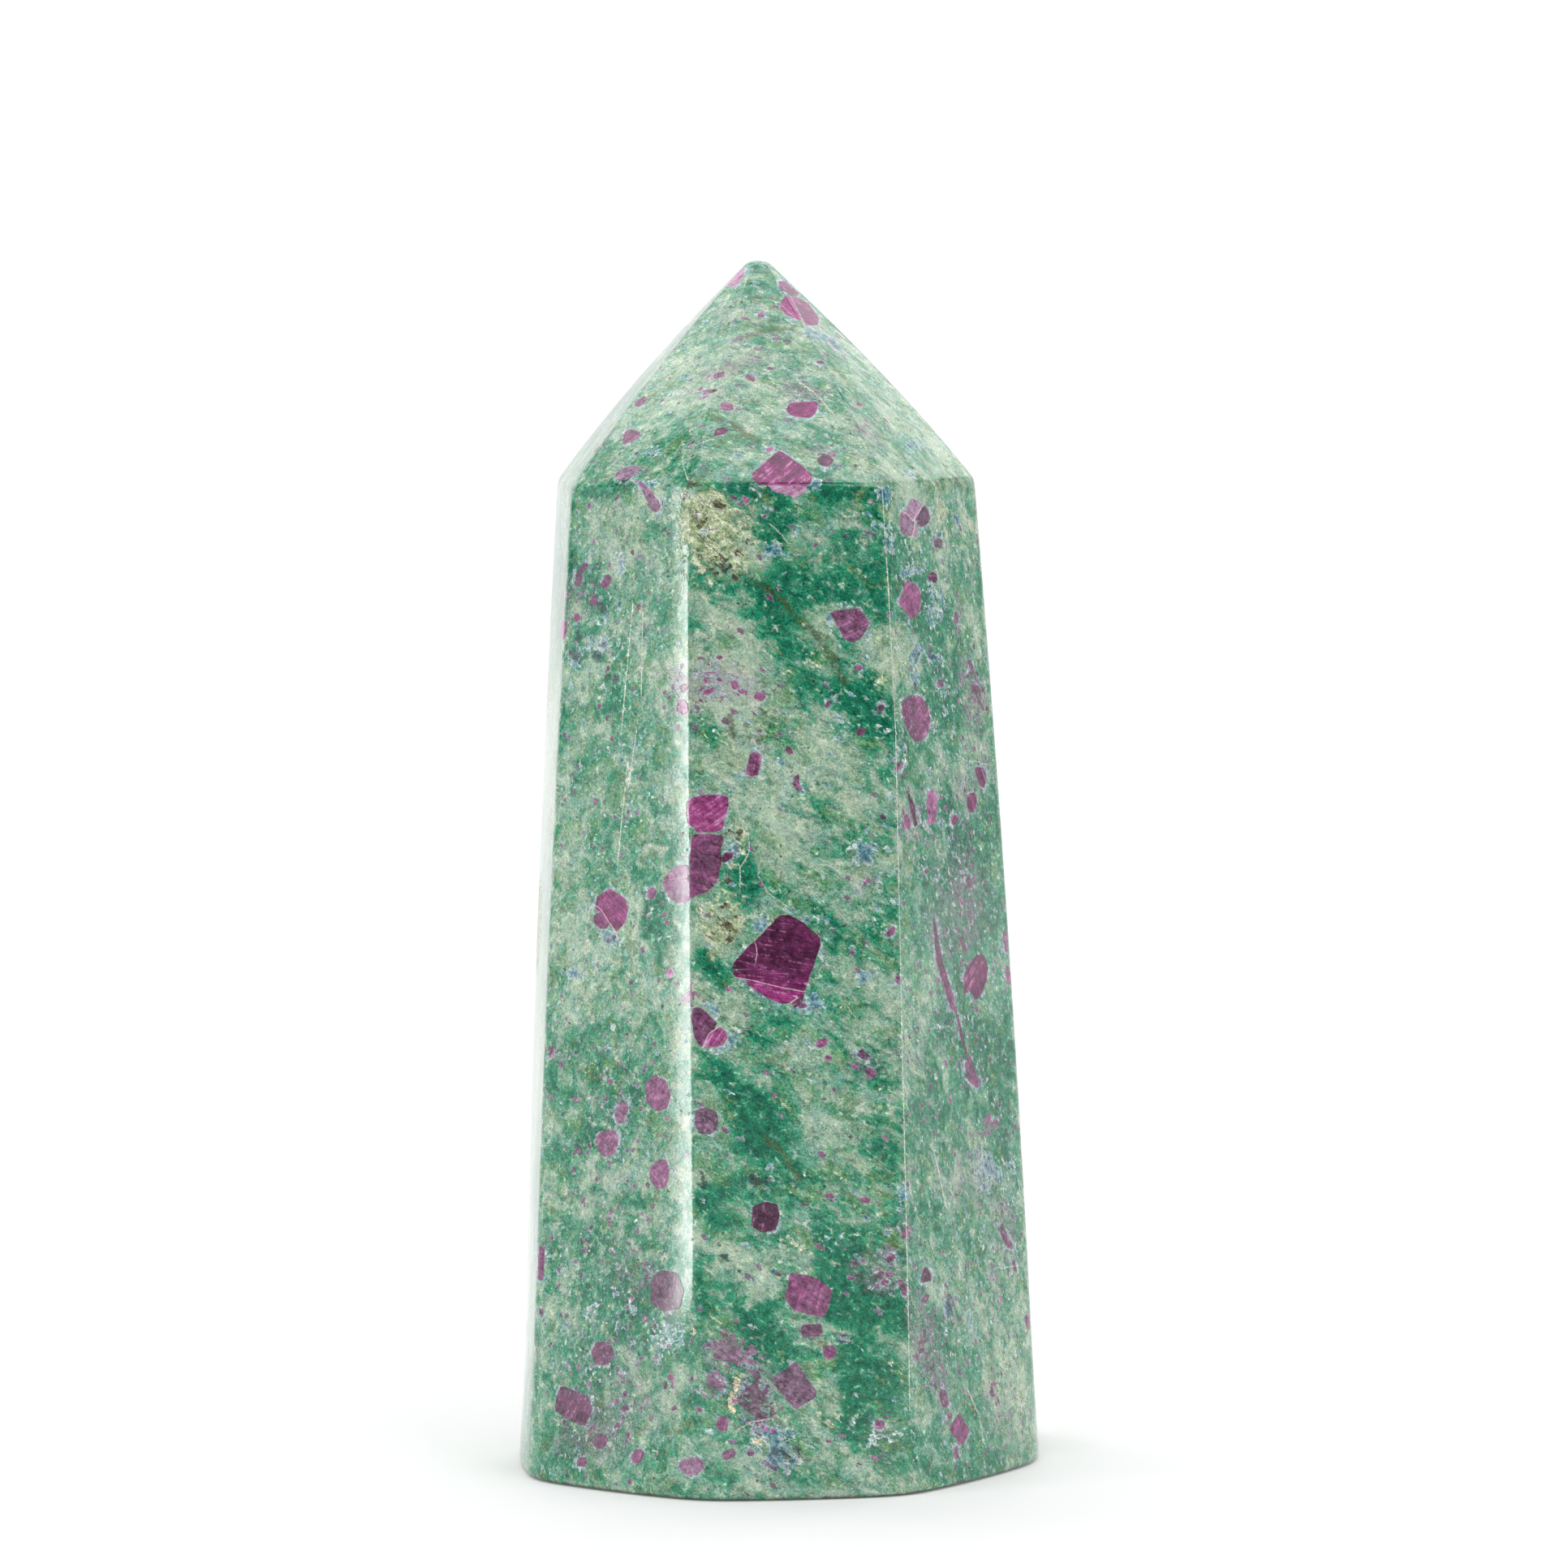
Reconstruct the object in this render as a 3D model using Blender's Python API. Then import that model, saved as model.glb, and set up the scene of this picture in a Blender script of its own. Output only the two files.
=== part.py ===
"""Ruby in fuchsite tower: one piece of stone ground into an eight-sided column with a pointed end.

The stone is sawn, ground into eight tapering facets, cut to a point on eight more facets and
polished all over. It stands on a flat sawn foot. Metres, +Z up, the widest facet faces -Y.
"""
import bmesh
import bpy
import numpy as np

MM = 0.001

# Overall size
HEIGHT = 150.0 * MM
APEX = np.array([-2.9, -0.5, 151.06]) * MM

# Corners of the foot seen from above, from the left corner round the front, before rounding
FOOT_LEFT = (-32.5, 6.0)
FOOT_FRONT_LEFT = (-30.8, -17.9)
FOOT_FRONT_MIDDLE = (-9.7, -31.9)
FOOT_FRONT_RIGHT = (15.8, -28.2)
FOOT_RIGHT = (32.2, -5.8)

# Corners of the shoulder, where the column ends and the point begins
SHOULDER_LEFT = (-27.9, 4.4, 122.6)
SHOULDER_FRONT_LEFT = (-25.5, -15.1, 122.7)
SHOULDER_FRONT_MIDDLE = (-10.8, -24.8, 123.6)
SHOULDER_FRONT_RIGHT = (12.8, -21.4, 123.3)
SHOULDER_RIGHT = (24.0, -6.4, 123.3)
SHOULDER_BACK_RIGHT = (21.6, 13.1, 123.2)
SHOULDER_BACK_MIDDLE = (6.8, 22.9, 122.3)
SHOULDER_BACK_LEFT = (-16.7, 19.4, 122.6)

# Hand polishing leaves every long line slightly bowed and every facet slightly full
COLUMN_BOW = 0.6 * MM
POINT_BOW = 1.1 * MM
FACET_FULLNESS = 0.2 * MM
FOOT_FULLNESS = 1.0 * MM

# Rounding of the edges: crisp up the column, wide where the facets run into the foot
EDGE_RADII = np.array([2.5, 2.0, 0.9, 0.8, 1.8, 2.0, 1.6, 1.6]) * MM
FOOT_RADIUS = 8.5 * MM
FOOT_BLEND_HEIGHT = 32.0 * MM
SHOULDER_SOFTNESS = 0.7 * MM
FOOT_BEVEL = 1.1 * MM
TIP_SOFTNESS = 2.2 * MM

# Fineness of the mesh
CORNER_STEPS = 4
FACET_STEPS = 4
BEVEL_STEPS = 3
COLUMN_STEPS = 16
SHOULDER_STEPS = 3
POINT_STEPS = 8
TIP_STEPS = 4

STONE_COLOUR = (0.13, 0.30, 0.19, 1.0)
STONE_ROUGHNESS = 0.16


def opposite(corner):
    """The foot corner facing this one: the foot is alike on both sides of its middle."""
    return (-corner[0], -corner[1])


FOOT_CORNERS = MM * np.array([
    FOOT_LEFT, FOOT_FRONT_LEFT, FOOT_FRONT_MIDDLE, FOOT_FRONT_RIGHT, FOOT_RIGHT,
    opposite(FOOT_FRONT_LEFT), opposite(FOOT_FRONT_MIDDLE), opposite(FOOT_FRONT_RIGHT),
])
SHOULDER_CORNERS = MM * np.array([
    SHOULDER_LEFT, SHOULDER_FRONT_LEFT, SHOULDER_FRONT_MIDDLE, SHOULDER_FRONT_RIGHT,
    SHOULDER_RIGHT, SHOULDER_BACK_RIGHT, SHOULDER_BACK_MIDDLE, SHOULDER_BACK_LEFT,
])


def clear_scene():
    """Start from an empty file."""
    for item in list(bpy.data.objects):
        bpy.data.objects.remove(item, do_unlink=True)
    for mesh in list(bpy.data.meshes):
        bpy.data.meshes.remove(mesh)


def outward(corners):
    """Level unit vectors from the middle of a ring of corners through each corner."""
    flat = corners - corners.mean(axis=0)
    flat[:, 2] = 0.0
    return flat / np.linalg.norm(flat, axis=1)[:, None]


def column_corners(share):
    """The eight corner points at this share of the way from the foot up to the shoulder."""
    foot = np.column_stack([FOOT_CORNERS, np.zeros(8)])
    corners = foot + share * (SHOULDER_CORNERS - foot)
    return corners + COLUMN_BOW * 4.0 * share * (1.0 - share) * outward(corners)


def point_corners(share):
    """The eight ridge points at this share of the way from the shoulder up to the apex."""
    corners = SHOULDER_CORNERS + share * (APEX - SHOULDER_CORNERS)
    return corners + POINT_BOW * 4.0 * share * (1.0 - share) * outward(SHOULDER_CORNERS)


def section(corners, radii, fullness):
    """Round the corners of an eight-sided ring and fill its sides out a little.

    Each side is a shallow arc that stands out by fullness at its middle. Each corner is a curve
    from one side to the next that starts and ends at the tangent length of its radius.
    """
    following = np.roll(corners, -1, axis=0)
    side = following - corners
    length = np.linalg.norm(side, axis=1)
    away = np.column_stack([side[:, 1], -side[:, 0], np.zeros(8)])
    away /= np.linalg.norm(away, axis=1)[:, None]
    tangent = np.minimum(radii * np.tan(np.radians(22.5)), 0.28 * length.min())

    def on_side(index, share):
        lift = fullness * 4.0 * share * (1.0 - share)
        return corners[index] + share * side[index] + lift * away[index]

    ring = []
    for index in range(8):
        start = on_side(index - 1, 1.0 - tangent[index] / length[index - 1])
        end = on_side(index, tangent[index] / length[index])
        for step in range(CORNER_STEPS):
            u = step / CORNER_STEPS
            ring.append((1 - u) ** 2 * start + 2 * u * (1 - u) * corners[index] + u ** 2 * end)
        first = tangent[index] / length[index]
        last = 1.0 - tangent[(index + 1) % 8] / length[index]
        for step in range(FACET_STEPS):
            ring.append(on_side(index, first + (last - first) * step / FACET_STEPS))
    return np.array(ring)


def column_ring(share):
    """Ring of the column: towards the foot its corners open out and its sides fill out."""
    corners = column_corners(share)
    depth = max(0.0, 1.0 - share * SHOULDER_CORNERS[:, 2].mean() / FOOT_BLEND_HEIGHT) ** 2
    radii = EDGE_RADII + (FOOT_RADIUS - EDGE_RADII) * depth
    return section(corners, radii, FACET_FULLNESS + (FOOT_FULLNESS - FACET_FULLNESS) * depth)


def point_ring(share):
    """Ring of the point: the facets shrink to the apex and flatten on the way."""
    return section(point_corners(share), EDGE_RADII, FACET_FULLNESS * (1.0 - share))


def rounded(before, corner, after, steps):
    """Rings of a curve that leaves one ring, bends towards the second and ends on the third."""
    shares = np.arange(steps + 1) / steps
    return [(1 - u) ** 2 * before + 2 * u * (1 - u) * corner + u ** 2 * after for u in shares]


def profile_rings():
    """All the rings from the edge of the flat foot up to the last one below the tip."""
    column_length = SHOULDER_CORNERS[:, 2].mean()
    point_length = np.linalg.norm(SHOULDER_CORNERS - APEX, axis=1).mean()
    foot = column_ring(0.0)
    inwards = -foot / np.linalg.norm(foot, axis=1)[:, None]
    low = FOOT_BEVEL / column_length
    high = 1.0 - SHOULDER_SOFTNESS / column_length
    first = SHOULDER_SOFTNESS / point_length
    last = 1.0 - TIP_SOFTNESS / point_length
    rings = rounded(foot + FOOT_BEVEL * inwards, foot, column_ring(low), BEVEL_STEPS)
    climb = (np.arange(1, COLUMN_STEPS) / COLUMN_STEPS) ** 1.35
    rings += [column_ring(low + (high - low) * share) for share in climb]
    rings += rounded(column_ring(high), column_ring(1.0), point_ring(first), SHOULDER_STEPS)
    climb = np.arange(1, POINT_STEPS) / POINT_STEPS
    rings += [point_ring(first + (last - first) * share) for share in climb]
    top = np.array([APEX[0], APEX[1], HEIGHT])
    below = point_ring(last)
    lean = below - APEX
    level = APEX + lean * ((HEIGHT - APEX[2]) / lean[:, 2])[:, None]
    rings += rounded(below, level, np.broadcast_to(top, below.shape), TIP_STEPS)[:-1]
    return np.array(rings), top


def build_tower():
    """Join the rings into one closed body, with one flat face below and one pole at the tip."""
    rings, top = profile_rings()
    middle = (rings.reshape(-1, 3).max(axis=0) + rings.reshape(-1, 3).min(axis=0)) / 2.0
    shift = np.array([middle[0], middle[1], 0.0])
    rings = rings - shift
    top = top - shift
    body = bmesh.new()
    verts = [[body.verts.new(point) for point in ring] for ring in rings]
    tip = body.verts.new(top)
    count = len(verts[0])
    body.faces.new(list(reversed(verts[0])))
    for lower, upper in zip(verts[:-1], verts[1:]):
        for column in range(count):
            beside = (column + 1) % count
            body.faces.new([lower[column], lower[beside], upper[beside], upper[column]])
    for column in range(count):
        body.faces.new([verts[-1][column], verts[-1][(column + 1) % count], tip])
    bmesh.ops.recalc_face_normals(body, faces=body.faces)
    mesh = bpy.data.meshes.new("tower")
    body.to_mesh(mesh)
    body.free()
    for face in mesh.polygons:
        face.use_smooth = len(face.vertices) < 5
    return mesh


def stone_material():
    """Polished green stone."""
    material = bpy.data.materials.new("stone")
    material.use_nodes = True
    shader = material.node_tree.nodes["Principled BSDF"]
    shader.inputs["Base Color"].default_value = STONE_COLOUR
    shader.inputs["Roughness"].default_value = STONE_ROUGHNESS
    shader.inputs["Metallic"].default_value = 0.0
    material.diffuse_color = STONE_COLOUR
    return material


clear_scene()
collection = bpy.data.collections.new("ruby_in_fuchsite_tower")
bpy.context.scene.collection.children.link(collection)
tower = bpy.data.objects.new("tower", build_tower())
tower.data.materials.append(stone_material())
collection.objects.link(tower)
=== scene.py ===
"""A ruby in fuchsite tower on a white studio floor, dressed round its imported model."""

import bpy
import numpy as np
from mathutils import Matrix


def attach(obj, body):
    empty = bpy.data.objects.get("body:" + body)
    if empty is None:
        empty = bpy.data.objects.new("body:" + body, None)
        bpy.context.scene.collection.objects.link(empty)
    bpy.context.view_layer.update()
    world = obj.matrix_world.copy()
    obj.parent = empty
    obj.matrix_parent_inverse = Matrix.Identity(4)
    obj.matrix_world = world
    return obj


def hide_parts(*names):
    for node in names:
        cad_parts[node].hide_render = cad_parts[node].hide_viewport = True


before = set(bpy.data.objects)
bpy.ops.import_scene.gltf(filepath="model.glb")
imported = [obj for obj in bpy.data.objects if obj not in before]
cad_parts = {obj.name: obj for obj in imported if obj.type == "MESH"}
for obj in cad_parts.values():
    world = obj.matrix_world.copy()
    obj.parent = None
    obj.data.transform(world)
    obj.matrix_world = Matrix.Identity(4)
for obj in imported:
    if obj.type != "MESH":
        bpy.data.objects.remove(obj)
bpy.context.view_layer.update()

MM = 0.001


# The view of the photo
# A camera with a long lens stands a metre away and looks slightly down on the tower. Its place
# comes from the curve of the foot and the lines of the facets, and the markings are put on the
# stone by where this camera sees them.
PHOTO_SIDE = 1932
CAMERA_PLACE = np.array([0.55, -1000.0, 183.5]) * MM
CAMERA_AIM = np.array([0.55, 0.0, 84.8]) * MM
PIXEL_AT_AIM = 0.10125 * MM
SENSOR_WIDTH = 36.0

view_line = CAMERA_AIM - CAMERA_PLACE
lens_pixels = np.linalg.norm(view_line) / PIXEL_AT_AIM
view_forward = view_line / np.linalg.norm(view_line)
view_right = np.cross(view_forward, [0.0, 0.0, 1.0])
view_right /= np.linalg.norm(view_right)
view_up = np.cross(view_right, view_forward)


def turned(right, up, back, place):
    """Matrix of an object whose own axes point right, up and back, set at a place."""
    return Matrix([[*row, spot] for row, spot in zip(np.column_stack([right, up, back]), place)]
                  + [[0.0, 0.0, 0.0, 1.0]])


def photo_place(points):
    """Photo pixel of each point: its offset across and down over its depth, times the lens."""
    offset = points - CAMERA_PLACE
    depth = offset @ view_forward
    across = PHOTO_SIDE / 2 + lens_pixels * (offset @ view_right) / depth
    down = PHOTO_SIDE / 2 - lens_pixels * (offset @ view_up) / depth
    return across, down


camera_data = bpy.data.cameras.new("camera")
camera_data.sensor_width = SENSOR_WIDTH
camera_data.lens = SENSOR_WIDTH * lens_pixels / PHOTO_SIDE
camera_data.clip_start = 0.01
camera_data.dof.use_dof = False
camera = bpy.data.objects.new("camera", camera_data)
camera.matrix_world = turned(view_right, view_up, -view_forward, CAMERA_PLACE)
bpy.context.scene.collection.objects.link(camera)
bpy.context.scene.camera = camera


# The stone tower: its ground shape
# One piece of ruby in fuchsite, sawn flat below, ground into eight tapering facets and a point of
# eight more, and polished. Hand work leaves the long lines slightly bowed, the facets slightly
# full and the edges round where they run into the foot.
HEIGHT = 150.0
APEX = np.array([-2.9, -0.5, 151.06])
FOOT_HALF = np.array([
    (-32.5, 6.0), (-30.8, -17.9), (-9.7, -31.9), (15.8, -28.2), (32.2, -5.8),
])
FOOT = np.vstack([FOOT_HALF, -FOOT_HALF[1:4]])
CORNERS = len(FOOT)
SHOULDER = np.array([
    (-27.9, 4.4, 122.6), (-25.5, -15.1, 122.7), (-10.8, -24.8, 123.6), (12.8, -21.4, 123.3),
    (24.0, -6.4, 123.3), (21.6, 13.1, 123.2), (6.8, 22.9, 122.3), (-16.7, 19.4, 122.6),
])
COLUMN_BOW = 0.6
POINT_BOW = 1.1
FACET_FULLNESS = 0.2
FOOT_FULLNESS = 1.0
EDGE_RADII = np.array([2.5, 2.0, 0.9, 0.8, 1.8, 2.0, 1.6, 1.6])
EDGE_REACH = 0.28
FOOT_RADIUS = 8.5
FOOT_BLEND_HEIGHT = 32.0
SHOULDER_SOFTNESS = 0.7
FOOT_BEVEL = 1.1
TIP_SOFTNESS = 2.2
CORNER_STEPS = 5
SIDE_STEPS = (24, 52, 54, 52, 24, 24, 24, 24)
UNDERSIDE_STEPS = 14
BEVEL_STEPS = 5
COLUMN_STEPS = 206
SHOULDER_STEPS = 4
POINT_STEPS = 60
TIP_STEPS = 8

# Each place round a ring is either on a corner curve or on a side, at some share of the way
is_corner = np.concatenate([np.r_[np.ones(CORNER_STEPS), np.zeros(n)] for n in SIDE_STEPS]) > 0
place_share = np.concatenate(
    [np.r_[np.arange(CORNER_STEPS) / CORNER_STEPS, np.arange(n) / n] for n in SIDE_STEPS])
place_side = np.repeat(np.arange(CORNERS), np.array(SIDE_STEPS) + CORNER_STEPS)


def outward(corners):
    """Level unit vectors from the middle of each ring of corners towards its corners."""
    flat = corners - corners.mean(axis=-2, keepdims=True)
    flat[..., 2] = 0.0
    return flat / np.linalg.norm(flat, axis=-1, keepdims=True)


def rounded_rings(corners, radii, fullness):
    """Eight-cornered rings with round corners and full sides, a row of points for each ring.

    A side runs straight from corner to corner and stands out by 4 f s (1 - s), for fullness f and
    share s. A corner is the curve (1-u)^2 a + 2 u (1-u) c + u^2 b round its corner point c, from
    a on one side to b on the next, each at the tangent length of the radius from c.
    """
    side = np.roll(corners, -1, axis=1) - corners
    length = np.linalg.norm(side, axis=2)
    away = np.stack([side[..., 1], -side[..., 0], np.zeros_like(length)], axis=2)
    away /= np.linalg.norm(away, axis=2, keepdims=True)
    tangent = np.minimum(radii * np.tan(np.pi / CORNERS), EDGE_REACH * length.min(axis=1)[:, None])

    def on_side(index, share):
        lift = (fullness[:, None] * 4.0 * share * (1.0 - share))[..., None]
        return corners[:, index] + share[..., None] * side[:, index] + lift * away[:, index]

    here = place_side
    before = (here - 1) % CORNERS
    after = (here + 1) % CORNERS
    start = on_side(before, 1.0 - tangent[:, here] / length[:, before])
    first = tangent[:, here] / length[:, here]
    last = 1.0 - tangent[:, after] / length[:, here]
    u = place_share[None, :, None]
    curve = (1 - u) ** 2 * start + 2 * u * (1 - u) * corners[:, here] + u ** 2 * on_side(here, first)
    straight = on_side(here, first + (last - first) * place_share)
    return np.where(is_corner[None, :, None], curve, straight)


def column_rings(shares):
    """Rings of the column at these shares of the way from the foot to the shoulder."""
    share = np.atleast_1d(shares)[:, None, None]
    foot = np.column_stack([FOOT, np.zeros(CORNERS)])[None]
    corners = foot + share * (SHOULDER[None] - foot)
    corners = corners + COLUMN_BOW * 4.0 * share * (1.0 - share) * outward(corners)
    low = np.clip(1.0 - share[:, 0, 0] * column_length / FOOT_BLEND_HEIGHT, 0, 1) ** 2
    radii = EDGE_RADII + (FOOT_RADIUS - EDGE_RADII) * low[:, None]
    return rounded_rings(corners, radii, FACET_FULLNESS + (FOOT_FULLNESS - FACET_FULLNESS) * low)


def point_rings(shares):
    """Rings of the point at these shares of the way from the shoulder to the apex."""
    share = np.atleast_1d(shares)[:, None, None]
    corners = SHOULDER[None] + share * (APEX - SHOULDER[None])
    corners = corners + POINT_BOW * 4.0 * share * (1.0 - share) * outward(SHOULDER[None])
    radii = np.broadcast_to(EDGE_RADII, (len(share), CORNERS))
    return rounded_rings(corners, radii, FACET_FULLNESS * (1.0 - share[:, 0, 0]))


def bend(before, corner, after, steps):
    """Rings of the curve (1-u)^2 a + 2 u (1-u) c + u^2 b between two rings round a third."""
    u = (np.arange(steps + 1) / steps)[:, None, None]
    return (1 - u) ** 2 * before + 2 * u * (1 - u) * corner + u ** 2 * after


column_length = SHOULDER[:, 2].mean()
point_length = np.linalg.norm(SHOULDER - APEX, axis=1).mean()
column_low = FOOT_BEVEL / column_length
column_high = 1.0 - SHOULDER_SOFTNESS / column_length
point_low = SHOULDER_SOFTNESS / point_length
point_high = 1.0 - TIP_SOFTNESS / point_length
foot_ring = column_rings(0.0)
foot_edge = foot_ring * (1.0 - FOOT_BEVEL / np.linalg.norm(foot_ring, axis=2, keepdims=True))
inner = (np.arange(1, UNDERSIDE_STEPS) / UNDERSIDE_STEPS)[:, None, None]
climb = np.arange(1, COLUMN_STEPS) / COLUMN_STEPS
rise = np.arange(1, POINT_STEPS) / POINT_STEPS
below_tip = point_rings(point_high)
lean = below_tip - APEX
level_tip = APEX + lean * ((HEIGHT - APEX[2]) / lean[..., 2:3])
tip = np.array([APEX[0], APEX[1], HEIGHT])
rings = np.concatenate([
    inner * foot_edge,
    bend(foot_edge, foot_ring, column_rings(column_low), BEVEL_STEPS),
    column_rings(column_low + (column_high - column_low) * climb),
    bend(column_rings(column_high), column_rings(1.0), point_rings(point_low), SHOULDER_STEPS),
    point_rings(point_low + (point_high - point_low) * rise),
    bend(below_tip, level_tip, np.broadcast_to(tip, below_tip.shape), TIP_STEPS)[:-1],
])
middle = (rings.max(axis=(0, 1)) + rings.min(axis=(0, 1))) / 2.0 * (1.0, 1.0, 0.0)
row_count, column_count = rings.shape[:2]
points = np.vstack([rings.reshape(-1, 3), [0.0, 0.0, 0.0], tip]) - middle

# Outward direction at every point, from the lines along and across the grid
along = np.gradient(rings, axis=0)
across = np.roll(rings, -1, axis=1) - np.roll(rings, 1, axis=1)
normals = np.cross(across, along)
normals /= np.linalg.norm(normals, axis=2, keepdims=True) + 1e-12
normals = np.vstack([normals.reshape(-1, 3), [0.0, 0.0, -1.0], [0.0, 0.0, 1.0]])


# The stone tower: where its markings lie
# The stone is a rock of green fuchsite flakes with ruby crystals grown through it, most of them
# with a thin rim of pale or blue kyanite. The markings that the photo shows are given by where
# they lie in it, in its pixels. The facets it hides get crystals of the same kinds and sizes.
PIXEL = 0.101
SEEN_FROM = 0.04
HIDDEN_FROM = -0.02
OUTSIDE = -9.0
photo_x, photo_y = photo_place(points * MM)
to_camera = CAMERA_PLACE / MM - points
to_camera /= np.linalg.norm(to_camera, axis=1, keepdims=True)
facing = (normals * to_camera).sum(axis=1)
seen = facing > SEEN_FROM


def drift(size, seed):
    """Smooth waves over the stone from about -1 to 1: a sum of sines in random directions."""
    chance = np.random.default_rng(seed)
    ways = chance.normal(size=(9, 3))
    pitch = (2 * np.pi / size) * chance.uniform(0.6, 1.6, 9)[:, None]
    ways *= pitch / np.linalg.norm(ways, axis=1)[:, None]
    return np.sin(points @ ways.T + chance.uniform(0, 6.28, 9)).sum(axis=1) / 3.0


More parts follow.
